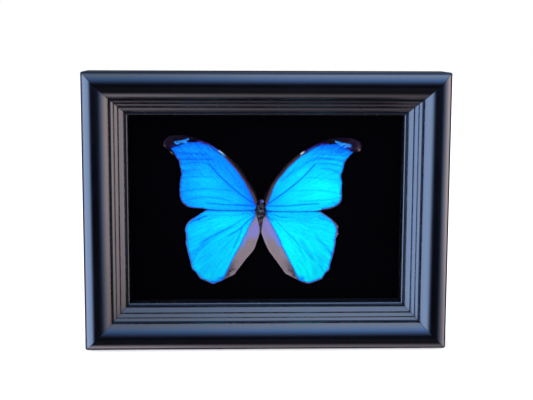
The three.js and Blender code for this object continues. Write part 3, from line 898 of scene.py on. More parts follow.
FR_BLUE = [
    [23.2, 122.8], [27.0, 125.3], [30.9, 127.9], [34.3, 129.0], [36.7, 129.8], [38.4, 129.4], [40.1, 130.2], [42.3, 129.6],
    [45.1, 130.1], [48.1, 129.8], [50.0, 128.9], [51.8, 127.7], [53.3, 126.6], [56.7, 124.8], [55.1, 123.0], [55.1, 122.7],
    [53.3, 120.8], [52.6, 120.5], [51.7, 118.9], [50.9, 117.9], [50.6, 115.2], [49.9, 112.6], [49.2, 110.9], [48.8, 109.4],
    [49.3, 107.4], [49.9, 105.3], [49.6, 103.1], [49.3, 100.5], [49.4, 97.8], [49.7, 95.6], [49.4, 93.9], [48.4, 91.9],
    [46.7, 90.4], [44.5, 89.2], [41.3, 88.3], [36.9, 87.8], [35.0, 83.0], [-1.0, 83.0], [0.0, 89.0], [1.4, 91.8],
    [2.2, 93.5], [3.3, 96.6], [4.4, 99.6], [5.6, 102.7], [7.3, 105.7], [9.5, 108.7], [12.1, 111.8], [14.6, 114.8],
    [17.2, 117.4], [20.6, 120.4],
]


def mask_dots(P, dots, r=0.45):
    out = np.zeros(len(P))
    for x, z in dots:
        out = np.maximum(out, np.exp(-(((P[:, 0] - x) ** 2 + (P[:, 1] - z) ** 2) / (r * r)) ** 1.6))
    return out


def paint_fl(P, rim):
    x, z = P[:, 0], P[:, 1]
    blue = signed(P, FL_BLUE)
    costal = [[-7.3, 91.4], [-9, 98.4], [-13.8, 106.6], [-19.4, 114.4], [-26.9, 121.5], [-33.5, 128.4], [-45, 131], [-60.8, 127.3]]
    dc = dist_line(P, costal)
    above = signed(P, [[-6, 90.6], [-17.8, 99.1], [-30.5, 110.5], [-36.3, 117.3], [-40, 118.4], [-62, 118.4], [-62, 140], [0, 140], [0, 90]])
    # brightness field: the wing's own pattern plus painted sheen; this left forewing is set darker than the right one,
    # as its iridescent blue catches less light
    tone_and_painted_sheen = 0.38 + 0.24 * blob(P, -36, 101, 12, 12) + 0.14 * blob(P, -30, 91.3, 13, 2.4) + 0.12 * blob(P, -20, 95, 8, 5)
    tone_and_painted_sheen -= 0.07 * smooth(x, -20, -8) + 0.08 * smooth(above, -0.5, 1.5) + 0.04 * smooth(z, 118, 130)
    tone_and_painted_sheen += 0.06 * blob(P, -48, 126, 8, 2.0, 4) + 0.05 * blob(P, -45, 118.8, 7, 0.8)
    tone_and_painted_sheen -= 0.05 * np.exp(-((dc / 2.6) ** 2)) + 0.08 * np.exp(-((blue / 2.0) ** 2)) * (x < -40)
    tone_and_painted_sheen -= 0.13 * stroke(P, [[-58, 124.2], [-50, 123.8], [-39.1, 123.3]], 0.8)
    tone_and_painted_sheen -= 0.15 * stroke(P, [[-55.2, 120.4], [-46.8, 120.2], [-34.8, 120.2]], 0.8)
    tone_and_painted_sheen -= 0.10 * stroke(P, [[-54.2, 112.4], [-46.8, 113.4], [-42.6, 113.4]], 0.7)
    tone_and_painted_sheen -= 0.08 * stroke(P, [[-54.8, 104.2], [-50.0, 104.6], [-43.4, 104.7]], 0.7)
    tone_and_painted_sheen += 0.08 * stroke(P, [[-52, 106.4], [-42, 107.0], [-32, 106.0]], 0.8) + 0.07 * stroke(P, [[-50, 97.6], [-40, 98.6], [-26, 97.0]], 1.0)
    tone_and_painted_sheen -= 0.12 * stroke(P, [[-36.6, 91.2], [-26, 90.8], [-16, 90.5], [-7.3, 90.0]], 0.6) * smooth(x, -40, -20)
    tone_and_painted_sheen += 0.10 * stroke(P, [[-48, 89.9], [-36, 89.3], [-22, 88.9], [-10, 88.8]], 0.8)
    tone_and_painted_sheen += 0.08 * stroke(P, [[-12, 96.4], [-20, 103], [-30, 112.5]], 0.6)
    out = -blue
    low = smooth(-z, -124.5, -121.0)
    f = {"blue": blue, "tone_and_painted_sheen": tone_and_painted_sheen}
    f["apex"] = (0.38 * smooth(-x, 40, 50) + 0.28 * smooth(-x, 56, 63)) * smooth(z, 126, 130) * (1 - 0.9 * blob(P, -46.0, 132.2, 3.8, 1.1, 10))
    f["apex"] += 0.8 * blob(P, -64.6, 129.6, 0.8, 2.4) + 0.2 * smooth(z, 133, 135)
    f["costa"] = low * smooth(out, 0.2, 0.7) * (0.3 + 0.7 * smooth(-z, -110, -95)) * (1 - 0.93 * smooth(out, 0.9, 2.1))
    f["redrim"] = low * np.exp(-(((out - 0.2) / 0.34) ** 2)) * 0.7
    f["violet"] = (1 - low) * smooth(x, -46.5, -41) * np.exp(-(((out - 0.4) / 0.6) ** 2)) * 0.9 + 0.6 * blob(P, -59.7, 128.9, 1.2, 0.5)
    f["patch"] = signed(P, [[-58.6, 131.6], [-56.1, 132.0], [-54.2, 132.3], [-52.5, 132.7], [-50.6, 133.5], [-49.0, 133.8], [-49.4, 132.6], [-50.3, 131.8],
                            [-50.6, 130.6], [-54.0, 130.6], [-54.5, 130.5], [-56.4, 129.7], [-57.7, 129.7], [-58.3, 130.6]])
    f["dusk"] = 0.85 * stroke(P, [[-38.2, 130.0], [-36.5, 128.8], [-33.9, 127.1], [-31.8, 125.6], [-30.1, 124.4], [-28.4, 123.2], [-26.8, 121.9]], 0.3)
    f["dusk"] = np.maximum(f["dusk"], 0.8 * stroke(P, [[-58.4, 129.0], [-56.1, 129.5], [-54.2, 130.0], [-53.1, 130.6]], 0.32))
    f["dusk"] = np.maximum(f["dusk"], 0.55 * stroke(P, [[-57.8, 130.9], [-56.1, 131.0], [-54.2, 131.4], [-52.7, 131.8]], 0.28))
    f["haze"] = 0.8 * blob(P, -27.3, 123.3, 1.5, 0.7, -35)
    f["spot"] = 0.85 * smooth(signed(P, [[-30.5, 125.9], [-29.4, 126.0], [-27.0, 124.3], [-26.6, 123.7], [-27.7, 124.0], [-29.4, 125.2]]), -0.25, 0.25)
    f["chip"] = 0.5 * mask_dots(P, [(-60.6, 124.6), (-60.0, 123.8), (-57.2, 119.2), (-56.3, 118.4), (-54.4, 112.0)], 0.5) + mask_dots(P, [(-64.7, 129.0)], 0.6) * 0.25
    return f


def paint_fr(P, rim):
    x, z = P[:, 0], P[:, 1]
    blue = signed(P, FR_BLUE)
    # brightness field: the wing's own pattern plus painted sheen; this right forewing is set lighter than the left one,
    # as its iridescent blue catches more light
    tone_and_painted_sheen = 0.60 + 0.36 * blob(P, 36, 99, 18, 13) + 0.10 * blob(P, 20, 97, 12, 7) + 0.14 * blob(P, 24, 111, 6, 4, 40)
    tone_and_painted_sheen -= 0.10 * smooth(z, 118, 123) + 0.34 * smooth(z, 124, 129) - 0.08 * blob(P, 46, 98, 5, 6) + 0.06 * blob(P, 29, 103, 6, 3)
    tone_and_painted_sheen -= 0.20 * smooth(x, 44, 53) * smooth(z, 119, 126) + 0.06 * blob(P, 6, 98, 4, 6)
    tone_and_painted_sheen -= 0.20 * stroke(P, [[10.5, 106.6], [15.9, 110.9], [22.0, 114.6], [26.6, 117.8], [31.2, 120.2], [36.2, 120.9], [42.0, 120.4], [51.0, 118.9]], 1.15)
    tone_and_painted_sheen -= 0.14 * blob(P, 38, 124.0, 9, 1.3, 2) + 0.16 * blob(P, 47, 125.0, 5, 1.2, -8)
    tone_and_painted_sheen += 0.16 * blob(P, 31.5, 122.6, 6, 0.8, 18) + 0.20 * blob(P, 43.5, 121.9, 6, 0.7, -3) + 0.08 * blob(P, 36, 127, 6, 0.8, 8)
    tone_and_painted_sheen += 0.20 * blob(P, 43.0, 118.7, 6, 0.8, -3) - 0.10 * blob(P, 44, 113.6, 5, 0.9, -8)
    tone_and_painted_sheen -= 0.14 * np.exp(-((blue / 1.2) ** 2)) * (x > 44)
    tone_and_painted_sheen -= 0.10 * smooth(-x, -14, -3) * smooth(-z, -104, -92) + 0.12 * blob(P, 38, 89.2, 10, 1.2, 4)
    tone_and_painted_sheen -= 0.12 * blob(P, 26, 97.2, 6, 1.3, 10) - 0.10 * blob(P, 34, 103.5, 12, 1.6) - 0.10 * blob(P, 17, 89.0, 14, 0.9)
    tone_and_painted_sheen -= 0.14 * blob(P, 45, 91.9, 4, 1.1, 18)
    out = -blue
    low = smooth(-z, -125.5, -122.0)
    f = {"blue": blue, "tone_and_painted_sheen": tone_and_painted_sheen}
    f["apex"] = smooth(x, 36, 46) * smooth(z, 124, 128) * (1 - 0.95 * blob(P, 41.5, 131.2, 3.4, 0.9, -6)) * (0.42 + 0.6 * smooth(x, 50, 58))
    f["apex"] = np.minimum(f["apex"] + 0.25 * np.exp(-((rim / 0.5) ** 2)) * smooth(x, 34, 46), 1.0)
    f["costa"] = low * smooth(out, 0.2, 0.7) * (0.32 + 0.68 * smooth(-z, -112, -96)) * (1 - 0.93 * smooth(out, 0.9, 2.1)) + 0.5 * blob(P, 60.5, 127.0, 1.2, 2.2)
    f["redrim"] = low * np.exp(-(((out - 0.2) / 0.34) ** 2)) * 0.7
    f["violet"] = (1 - low) * smooth(-x, -42, -38) * np.exp(-(((out - 0.4) / 0.6) ** 2)) * 0.7
    f["violet"] = f["violet"] + 0.9 * blob(P, 55.0, 127.1, 1.5, 0.7, 20)
    f["patch"] = signed(P, [[45.2, 132.2], [46.9, 131.7], [49.4, 130.9], [52.0, 130.5], [55.2, 129.9], [55.8, 128.9], [54.8, 128.0], [53.7, 127.5],
                            [50.7, 127.6], [47.7, 129.3], [46.0, 130.5], [45.1, 131.3]])
    f["dusk"] = 0.75 * stroke(P, [[23.8, 122.9], [27.0, 124.7], [29.6, 126.4], [31.7, 127.8], [34.3, 129.0]], 0.3)
    f["haze"] = 0.8 * stroke(P, [[50.8, 129.9], [53.1, 128.9], [54.8, 128.5]], 0.42) + 0.4 * blob(P, 23.6, 123.3, 1.0, 0.5, 35)
    f["spot"] = 0.9 * smooth(signed(P, [[22.4, 123.9], [23.6, 124.9], [25.3, 125.4], [24.6, 124.3], [23.2, 123.4]]), -0.25, 0.25)
    f["chip"] = mask_dots(P, [(56.3, 122.4), (51.8, 117.3), (49.4, 109.6)], 0.5) * 0.5 + mask_dots(P, [(60.7, 126.3)], 0.55) * 0.6
    return f


HL_BOUND = [[-6.0, 84.6], [-6.2, 83.4], [-7.3, 81.0], [-8.7, 78.8], [-10.5, 75.1], [-11.6, 72.6], [-13.8, 68.9], [-15.2, 65.2],
            [-17.0, 61.6], [-19.2, 57.5], [-21.0, 54.2], [-22.7, 50.5], [-24.7, 46.1], [-26.3, 42.7], [-27.2, 41.3]]
HR_BOUND = [[0.2, 85.6], [0.8, 82.8], [3.0, 79.1], [5.2, 75.1], [7.3, 71.1], [9.2, 67.4], [11.0, 63.0], [13.6, 57.8], [15.8, 53.3],
            [17.6, 50.0], [19.1, 46.7], [20.6, 43.3], [22.3, 40.5]]


def paint_hl(P, rim):
    x, z = P[:, 0], P[:, 1]
    area = HL_BOUND + [[-28.7, 40.35], [-31.9, 39.2], [-34.1, 38.4], [-38.5, 40.6], [-41.9, 41.9], [-43.7, 44.2], [-45.4, 46.6],
                       [-47.4, 48.4], [-48.5, 53.2], [-49.5, 57.2], [-50.4, 61.0], [-51.3, 65.6], [-50.95, 69.0], [-51.3, 71.6],
                       [-51.8, 74.2], [-50.8, 77.5], [-48.5, 80.2], [-44.5, 82.9], [-40.6, 85.5], [-37.2, 87.7], [-36, 94], [-5, 94]]
    blue = signed(P, area)
    bound = dist_line(P, HL_BOUND)
    # brightness field: the wing's own pattern plus painted sheen; this left hindwing is set darker than the right one,
    # as its iridescent blue catches less light
    tone_and_painted_sheen = 0.71 + 0.10 * blob(P, -25, 77, 12, 6, 10) + 0.10 * blob(P, -15, 68, 4, 10, -25)
    tone_and_painted_sheen -= 0.14 * smooth(z, 81.5, 85.5) * (0.5 + 0.5 * smooth(-x, 30, 40) + 0.5 * smooth(x, -20, -12))
    tone_and_painted_sheen -= 0.06 * smooth(x, -16, -9) * smooth(z, 74, 80)
    tone_and_painted_sheen -= 0.30 * stroke(P, [[-19, 77.6], [-24, 75.2], [-29.5, 72.6], [-34, 70.4], [-38, 67.6], [-41.5, 64.6]], 1.0) * smooth(-x, 17, 24)
    tone_and_painted_sheen -= 0.20 * stroke(P, [[-38, 67.0], [-43, 62.4], [-46.5, 58.4], [-48.5, 54.5]], 2.0) - 0.07 * blob(P, -43, 76.5, 4, 2)
    tone_and_painted_sheen -= 0.10 * blob(P, -38, 52, 6, 9, -30) + 0.10 * blob(P, -49, 66, 3.0, 9) + 0.10 * blob(P, -42, 68.6, 5, 1.4, 40)
    tone_and_painted_sheen -= 0.50 * stroke(P, [[-47.6, 79.6], [-45.0, 80.4], [-43.0, 81.2]], 0.7) + 0.30 * stroke(P, [[-43.0, 81.2], [-40.6, 82.2], [-38.4, 83.0]], 0.8)
    tone_and_painted_sheen -= 0.14 * blob(P, -44.5, 80.8, 6.5, 2.0, 20) + 0.14 * blob(P, -44, 76.5, 5, 1.2, 20)
    tone_and_painted_sheen -= 0.20 * np.exp(-((blue / 1.4) ** 2)) * (bound > 2.0) * (z < 80)
    tone_and_painted_sheen -= 0.5 * blob(P, -28.6, 42.0, 2.6, 1.1, 14) + 0.4 * blob(P, -33.6, 39.6, 2.0, 1.2)
    tone_and_painted_sheen -= 0.34 * np.exp(-((bound / 0.75) ** 2))
    # painted shade: the hindwing is darkened just below and under the forewing's edge
    tone_and_painted_sheen -= 0.55 * smooth(z, 85.6, 87.3)
    tone_and_painted_sheen += 0.06 * blob(P, -26, 85, 6, 1.2) + 0.08 * blob(P, -38, 85.8, 4, 0.9, 30) + 0.05 * blob(P, -20, 60, 3, 14, -28)
    tone_and_painted_sheen -= 0.08 * blob(P, -25, 87, 10, 1.2)
    f = {"blue": blue, "tone_and_painted_sheen": tone_and_painted_sheen}
    flap_t = smooth(-bound, -3.2, -1.8)
    f["violet"] = smooth(z, 66.0, 72.0) * (1 - 0.6 * smooth(z, 78, 82)) * (0.35 + 0.65 * smooth(bound, 1.0, 3.0))
    f["pale"] = np.exp(-((rim / 0.9) ** 2)) * (x > -24) * 0.8
    f["streak"] = stroke(P, [[-11.3, 72.3], [-12.6, 69.0], [-13.9, 65.4], [-15.0, 61.6]], 0.95) * smooth(z, 60.0, 65.5) * (0.7 + 0.3 * smooth(-z, -68, -65))
    f["dark"] = 0.75 * smooth(-z, -56, -46) * smooth(-bound, -3.4, -0.6) + 0.25 * blob(P, -20.5, 49.5, 2.4, 5, -30) + 0.35 * blob(P, -19.5, 47.5, 1.1, 1.6)
    f["spot"] = 0.85 * mask_dots(P, [(-22.5, 46.6), (-23.7, 44.4), (-21.0, 47.7)], 0.7) + 0.5 * mask_dots(P, [(-24.9, 43.1)], 0.6)
    f["fringe"] = np.clip(smooth(z, 86.6, 87.4) + smooth(-x, 27.0, 27.6) * 0.9, 0, 1) * smooth(-blue, -0.1, 0.1)
    f["chip"] = 0.6 * mask_dots(P, [(-25.2, 42.4), (-51.3, 69.2)], 0.45)
    return f


def paint_hr(P, rim):
    x, z = P[:, 0], P[:, 1]
    area = HR_BOUND + [[24.2, 39.8], [26.1, 39.3], [28.5, 38.4], [31.2, 39.2], [34.5, 40.3], [37.2, 41.5], [38.6, 43.4],
                       [39.9, 45.6], [42.0, 47.4], [42.8, 51.8], [43.9, 55.5], [45.0, 60.0], [45.8, 64.5], [46.0, 68.6],
                       [46.7, 70.8], [46.9, 73.6], [46.5, 76.2], [44.8, 78.7], [42.9, 80.9], [39.3, 83.4], [35.8, 85.7],
                       [32.0, 86.6], [30, 93], [-1, 93]]
    blue = signed(P, area)
    bound = dist_line(P, HR_BOUND)
    # brightness field: the wing's own pattern plus painted sheen; this right hindwing is set lighter than the left one,
    # as its iridescent blue catches more light
    tone_and_painted_sheen = 0.86 + 0.10 * blob(P, 20, 64, 4, 5) + 0.10 * blob(P, 26, 47, 3, 4) - 0.2 * blob(P, 23, 42.6, 2, 1.5)
    tone_and_painted_sheen += 0.12 * blob(P, 15, 63, 6, 16, 28) + 0.06 * blob(P, 36, 65, 6, 5, -30)
    tone_and_painted_sheen -= 0.18 * smooth(z, 78, 83) + 0.06 * blob(P, 34, 75, 7, 4, -20)
    tone_and_painted_sheen -= 0.16 * stroke(P, [[18.4, 69.5], [21.5, 64.0], [24.5, 58.6], [26.6, 54.2]], 1.0)
    tone_and_painted_sheen -= 0.16 * stroke(P, [[23.5, 67.5], [27.5, 60.5], [31.0, 54.0]], 1.3) + 0.18 * blob(P, 36.5, 52.5, 2.0, 5.0, 28)
    tone_and_painted_sheen += 0.10 * stroke(P, [[17, 73], [22.5, 64.5], [28.5, 52.5], [30.5, 45]], 0.9) + 0.08 * stroke(P, [[22, 73], [29.5, 63], [34.0, 54], [36.5, 48]], 0.8)
    tone_and_painted_sheen -= 0.30 * stroke(P, [[30.5, 71.5], [35.0, 67.6], [39.0, 63.6], [42.5, 59.8], [44.0, 57.5]], 1.1) * smooth(x, 30, 36)
    tone_and_painted_sheen -= 0.12 * blob(P, 40.0, 54.5, 4.0, 1.4, -42) + 0.12 * blob(P, 33.0, 44.5, 1.6, 4.0, 12)
    tone_and_painted_sheen -= 0.42 * stroke(P, [[33.6, 82.2], [36.4, 81.5], [39.4, 80.4], [43.0, 78.9]], 0.6) * smooth(x, 33, 37)
    tone_and_painted_sheen -= 0.16 * blob(P, 25, 79.6, 4.5, 1.6, -6) + 0.06 * blob(P, 15.5, 84.6, 10, 1.0)
    tone_and_painted_sheen -= 0.30 * np.exp(-((blue / 1.0) ** 2)) * (x > 40) * (z < 80)
    tone_and_painted_sheen -= 0.6 * blob(P, 24.2, 41.2, 1.8, 1.2, 20) + 0.5 * blob(P, 29.0, 38.8, 5.0, 0.8) + 0.35 * blob(P, 35.0, 41.0, 3.0, 0.9, 20)
    tone_and_painted_sheen -= 0.34 * np.exp(-((bound / 0.8) ** 2))
    # painted shade: the hindwing is darkened just below and under the forewing's edge
    tone_and_painted_sheen -= 0.6 * smooth(z, 84.9, 86.6)
    tone_and_painted_sheen -= 0.14 * stroke(P, [[5, 81.6], [12, 79.8], [18, 79.8]], 0.7)
    f = {"blue": blue, "tone_and_painted_sheen": tone_and_painted_sheen}
    f["violet"] = smooth(z, 64.0, 71.5) * (1 - 0.5 * smooth(z, 79, 83)) * (0.45 + 0.55 * np.exp(-(((bound - 2.3) / 1.9) ** 2)))
    f["pale"] = np.exp(-((rim / 0.9) ** 2)) * (x < 19.5) * 0.8
    f["streak"] = smooth(signed(P, [[5.8, 72.6], [6.6, 69.4], [7.7, 66.2], [8.6, 63.6], [10.1, 63.2], [11.2, 62.8], [9.4, 67.4], [7.3, 71.6]]), -0.55, 0.25) * (0.75 + 0.25 * smooth(-z, -67, -64)) + 0.2 * stroke(P, [[9.8, 62], [11.6, 57.5], [12.6, 55]], 0.7)
    f["dark"] = 0.75 * smooth(-z, -56, -46) * smooth(-bound, -3.4, -0.6) + 0.25 * blob(P, 14.6, 49.5, 2.2, 5, 30)
    f["spot"] = 0.85 * mask_dots(P, [(17.2, 46.2), (18.6, 43.8), (15.6, 47.2)], 0.7)
    f["fringe"] = np.clip(smooth(z, 85.6, 86.4) + smooth(x, 22.4, 23.2) * 0.9, 0, 1) * smooth(-blue, -0.1, 0.1)
    f["chip"] = 0.7 * mask_dots(P, [(20.3, 42.0), (47.4, 71.0), (47.5, 76.2), (46.6, 69.4)], 0.55)
    return f


V_FL = [
    ([[-6.6, 91.1], [-12.4, 95.0], [-17.77, 99.06], [-23.64, 104.08], [-30.46, 110.45], [-33.6, 114.2], [-36.29, 117.25]], 0.85),
    ([[-36.5, 117.5], [-40.5, 118.0], [-47.0, 118.0], [-55.2, 116.9]], 0.42),
    ([[-34.8, 120.2], [-42.0, 120.3], [-50.0, 120.2], [-57.0, 120.6]], 0.22),
    ([[-37.8, 123.3], [-45.0, 123.9], [-52.0, 124.0], [-58.2, 124.2]], 0.2),
    ([[-41.6, 113.4], [-46.8, 113.5], [-54.0, 112.4]], 0.2),
    ([[-28.0, 108.0], [-36.0, 109.0], [-45.0, 109.0], [-54.0, 108.4]], 0.22),
    ([[-18.93, 99.7], [-24.0, 100.2], [-30.5, 100.8], [-42.6, 101.0], [-48.0, 100.2], [-54.9, 99.0]], 0.38),
    ([[-22.4, 92.7], [-28.0, 94.7], [-34.9, 95.6], [-41.7, 95.5], [-47.3, 94.7], [-51.5, 93.6]], 0.36),
    ([[-6.9, 90.0], [-14.0, 90.4], [-21.9, 90.7], [-30.0, 91.2], [-37.6, 91.7]], 0.6),
    ([[-6.2, 88.9], [-20.0, 89.2], [-34.0, 89.4]], 0.1),
    ([[-6.0, 92.2], [-9.6, 99.4], [-14.6, 107.6], [-20.4, 115.8], [-27.4, 121.9], [-35.4, 127.6], [-45.6, 131.6], [-57.4, 133.6]], 0.0),
]
V_FR = [
    ([[1.6, 90.9], [7.0, 95.0], [13.29, 99.42], [23.66, 108.02], [32.12, 117.06]], 0.85),
    ([[13.75, 99.1], [20.5, 99.7], [32.5, 100.0], [42.9, 99.1], [48.9, 97.8]], 0.24),
    ([[24.6, 108.3], [30.0, 108.4], [36.7, 108.1], [46.2, 106.9], [49.2, 106.4]], 0.28),
    ([[34.0, 117.6], [40.9, 117.4], [46.0, 116.6], [50.4, 115.6]], 0.42),
    ([[36.0, 114.3], [41.0, 113.9], [45.4, 112.4], [49.3, 110.4]], 0.36),
    ([[31.4, 120.3], [36.2, 120.9], [42.0, 120.4], [51.4, 118.9]], 0.14),
    ([[28.5, 122.0], [34.4, 123.7], [40.8, 123.0], [51.6, 122.2]], 0.2),
    ([[31.0, 125.4], [37.0, 126.8], [44.0, 126.8], [52.0, 125.8]], 0.16),
    ([[22.1, 93.0], [32.5, 93.4], [41.2, 93.9], [48.4, 95.2]], 0.34),
    ([[1.8, 89.9], [8.0, 89.8], [15.2, 90.0], [25.6, 90.9], [34.6, 91.3]], 0.7),
    ([[41.5, 105.7], [45.6, 104.6], [49.0, 103.6]], 0.16),
    ([[43.4, 92.6], [46.6, 90.9]], 0.3),
    ([[0.6, 92.6], [4.6, 100.6], [9.8, 108.2], [15.8, 115.6], [22.6, 122.2], [31.6, 127.6], [41.6, 131.0], [53.4, 132.0]], 0.0),
]
V_HL = [
    ([[-6.5, 84.6], [-7.8, 85.6], [-9.4, 86.7]], 0.9),
    ([[-6.2, 83.9], [-11.0, 80.2], [-15.02, 76.12], [-19.0, 73.1], [-23.6, 70.6]], 0.75),
    ([[-15.02, 76.12], [-16.6, 71.0], [-18.6, 66.4], [-20.6, 62.4]], 0.6),
    ([[-23.6, 70.6], [-30.0, 67.4], [-38.0, 61.0], [-44.0, 53.5]], 0.14),
    ([[-6.6, 84.4], [-14.0, 81.6], [-21.5, 76.6], [-29.0, 72.6], [-36.5, 66.4], [-44.5, 58.6], [-47.6, 52.4]], 0.3),
    ([[-6.6, 84.8], [-13.0, 84.6], [-20.0, 83.6], [-30.0, 83.4], [-40.0, 80.0], [-50.0, 76.6]], 0.26),
    ([[-6.8, 85.4], [-14.0, 86.0], [-24.0, 86.2], [-34.0, 84.6], [-43.0, 81.6]], 0.12),
    ([[-20.6, 62.4], [-23.0, 56.0], [-25.5, 49.5], [-28.5, 42.6]], 0.12),
    ([[-24.0, 66.5], [-29.0, 59.0], [-33.0, 50.0], [-35.5, 41.6]], 0.1),
    ([[-34.5, 74.5], [-42.0, 71.5], [-50.0, 67.0]], 0.16),
    ([[-6.3, 82.4], [-9.8, 75.4], [-13.6, 67.6], [-18.4, 58.0], [-23.6, 47.2]], 0.0),
    ([[-5.6, 80.0], [-7.6, 72.0], [-11.5, 62.0], [-17.5, 51.0]], 0.0),
]
V_HR = [
    ([[1.3, 84.8], [2.6, 85.8], [4.3, 86.8]], 0.9),
    ([[0.9, 84.2], [3.2, 81.7], [5.0, 80.0]], 0.8),
    ([[1.9, 84.9], [6.6, 80.6], [12.2, 74.6], [17.4, 69.2], [23.5, 62.1]], 0.42),
    ([[10.4, 73.7], [8.0, 76.6], [5.0, 80.0]], 0.2),
    ([[2.6, 84.6], [6.0, 84.0], [10.0, 82.6], [14.0, 82.2]], 0.5),
    ([[14.0, 82.2], [24.0, 81.0], [34.0, 79.6], [45.0, 76.0]], 0.16),
    ([[12.2, 74.6], [22.0, 71.6], [33.0, 66.0], [44.0, 58.6]], 0.14),
    ([[17.4, 69.2], [25.0, 62.0], [33.0, 52.6], [38.4, 46.6]], 0.2),
    ([[35.4, 51.0], [38.4, 46.6]], 0.55),
    ([[15.5, 70.0], [20.0, 60.0], [25.5, 50.0], [29.0, 41.0]], 0.1),
    ([[1.2, 83.4], [6.6, 73.4], [11.8, 62.6], [17.6, 50.6], [21.4, 42.4]], 0.0),
    ([[0.0, 79.0], [1.6, 70.0], [6.0, 60.0], [12.6, 49.4]], 0.0),
    ([[13.0, 86.4], [22.0, 85.4], [32.0, 83.0]], 0.0),
]
FORE_MAT, HIND_MAT = wing_material("forewing_scales"), wing_material("hindwing_scales", True)
wing_mesh("forewing_left_fine", FOREWING_LEFT, 19.62, V_FL, "forewing_left", FORE_MAT, paint_fl)
wing_mesh("forewing_right_fine", FOREWING_RIGHT, 19.62, V_FR, "forewing_right", FORE_MAT, paint_fr)
wing_mesh("hindwing_left_fine", HINDWING_LEFT, 20.45, V_HL, "hindwing_left", HIND_MAT, paint_hl)
wing_mesh("hindwing_right_fine", HINDWING_RIGHT, 20.45, V_HR, "hindwing_right", HIND_MAT, paint_hr)

# ------------------------------------------------------------------ body
BODY = [
    (0.02, -15.4), (0.28, -14.6), (0.48, -12.4), (0.72, -9.8), (1.0, -7.4), (1.18, -5.6), (1.4, -4.5), (1.9, -3.5),
    (2.35, -1.9), (2.5, 0), (2.4, 1.7), (2.05, 3.2), (1.4, 4.1), (1.2, 4.6), (1.4, 5.3), (1.3, 6.2), (0.75, 6.9), (0.02, 7.2),
]


def body_material():
    k = Mat("body_cuticle")
    o = k.obj()
    fine = k.noise(o, 2600.0, 4, 0.6)
    patch = k.noise(o, 700.0, 3, 0.5)
    color = k.mix(fine, lin(10, 8, 12), lin(30, 25, 32))
    color = k.mix(k.span(patch, 0.5, 0.75, 0, 0.5), color, lin(52, 48, 62))
    return k.surface(color, k.span(fine, 0.3, 0.7, 0.4, 0.6), specular=0.5, normal=k.bump(fine, 0.00006, 0.6))


def hair_material():
    k = Mat("body_hair")
    shade = k.attr("shade")
    fine = k.noise(k.obj(), 4000.0, 2, 0.5)
    shade = k.calc("ADD", shade, k.calc("MULTIPLY", k.calc("SUBTRACT", fine, 0.5), 0.2), clamp=True)
    # the two top stops are the painted violet highlight on the crown
    color = k.ramp(
        shade,
        [(0.0, lin(9, 7, 10)), (0.25, lin(44, 31, 36)), (0.5, lin(96, 82, 90)), (0.76, lin(134, 122, 140)), (0.84, lin(50, 50, 130)), (1.0, lin(112, 114, 240))],
    )
    return k.surface(color, 0.5, specular=0.3)


def eye_material(name, lo, hi, rough=0.25):
    k = Mat(name)
    facets = k.node("ShaderNodeTexVoronoi")
    k.put(facets.inputs["Vector"], k.obj())
    facets.inputs["Scale"].default_value = 9000.0
    color = k.mix(facets.outputs["Distance"], lo, hi)
    return k.surface(color, k.span(facets.outputs["Distance"], 0, 0.6, rough, rough + 0.15), specular=0.6 if rough < 0.5 else 0.15)


def make_body():
    prof = catmull(BODY, 0.35)
    steps = 40
    verts, faces = [], []
    for r, z in prof:
        rings = 0.0
        if z < -4.8:
            rings = 0.07 * math.cos((z + 4.8) * 2 * math.pi / 1.55)
        for i in range(steps):
            a = 2 * math.pi * i / steps
            w = 1 + 0.03 * math.sin(3 * a + z) + 0.02 * math.sin(7 * a - 2 * z)
            rr = max(r * w * (1 + rings * (0.6 if r > 0.4 else 0)), 0.01)
            verts.append(seat(BODY_X + rr * math.cos(a), BODY_D + 0.96 * rr * math.sin(a), BODY_Z + z))
    n = len(prof)
    for k in range(n - 1):
        for i in range(steps):
            j = (i + 1) % steps
            faces.append((k * steps + i, k * steps + j, (k + 1) * steps + j, (k + 1) * steps + i))
    faces.append(tuple(range(steps)))
    faces.append(tuple((n - 1) * steps + i for i in reversed(range(steps))))
    mats = [0] * len(faces)
    # compound eyes: the right one carries a painted violet highlight and the left one is the same eye painted in shade
    for sx in (-1, 1):
        cx, cd, cz = BODY_X + sx * 1.15, BODY_D - 0.6, BODY_Z + 5.85
        base = len(verts)
        ns, nr = 18, 11
        for r_i in range(nr + 1):
            t = math.pi * r_i / nr
            for i in range(ns):
                a = 2 * math.pi * i / ns
                verts.append(
                    seat(cx + 0.9 * math.sin(t) * math.cos(a), cd + 0.82 * math.sin(t) * math.sin(a), cz + 1.05 * math.cos(t))
                )
        for r_i in range(nr):
            for i in range(ns):
                j = (i + 1) % ns
                faces.append((base + r_i * ns + i, base + (r_i + 1) * ns + i, base + (r_i + 1) * ns + j, base + r_i * ns + j))
                mats.append(1 if sx > 0 else 2)
    # eye holds the painted violet highlight, eye_shaded the painted shade of the same eye
    o = mesh_object("butterfly_body_fine", verts, faces, [body_material(), eye_material("eye", lin(52, 50, 128), lin(104, 104, 225)), eye_material("eye_shaded", lin(5, 4, 8), lin(14, 12, 22), 0.6)], mats)
    bm = bmesh.new()
    bm.from_mesh(o.data)
    bmesh.ops.remove_doubles(bm, verts=bm.verts, dist=1e-6)
    bmesh.ops.recalc_face_normals(bm, faces=bm.faces)
    big = [f for f in bm.faces if len(f.verts) > 4]
    bmesh.ops.triangulate(bm, faces=big)
    bm.to_mesh(o.data)
    bm.free()
    return finish_piece(o, ("butterfly_body",))


def body_radius(z):
    zs = [p[1] for p in BODY]
    rs = [p[0] for p in BODY]
    return float(np.interp(z, zs, rs))


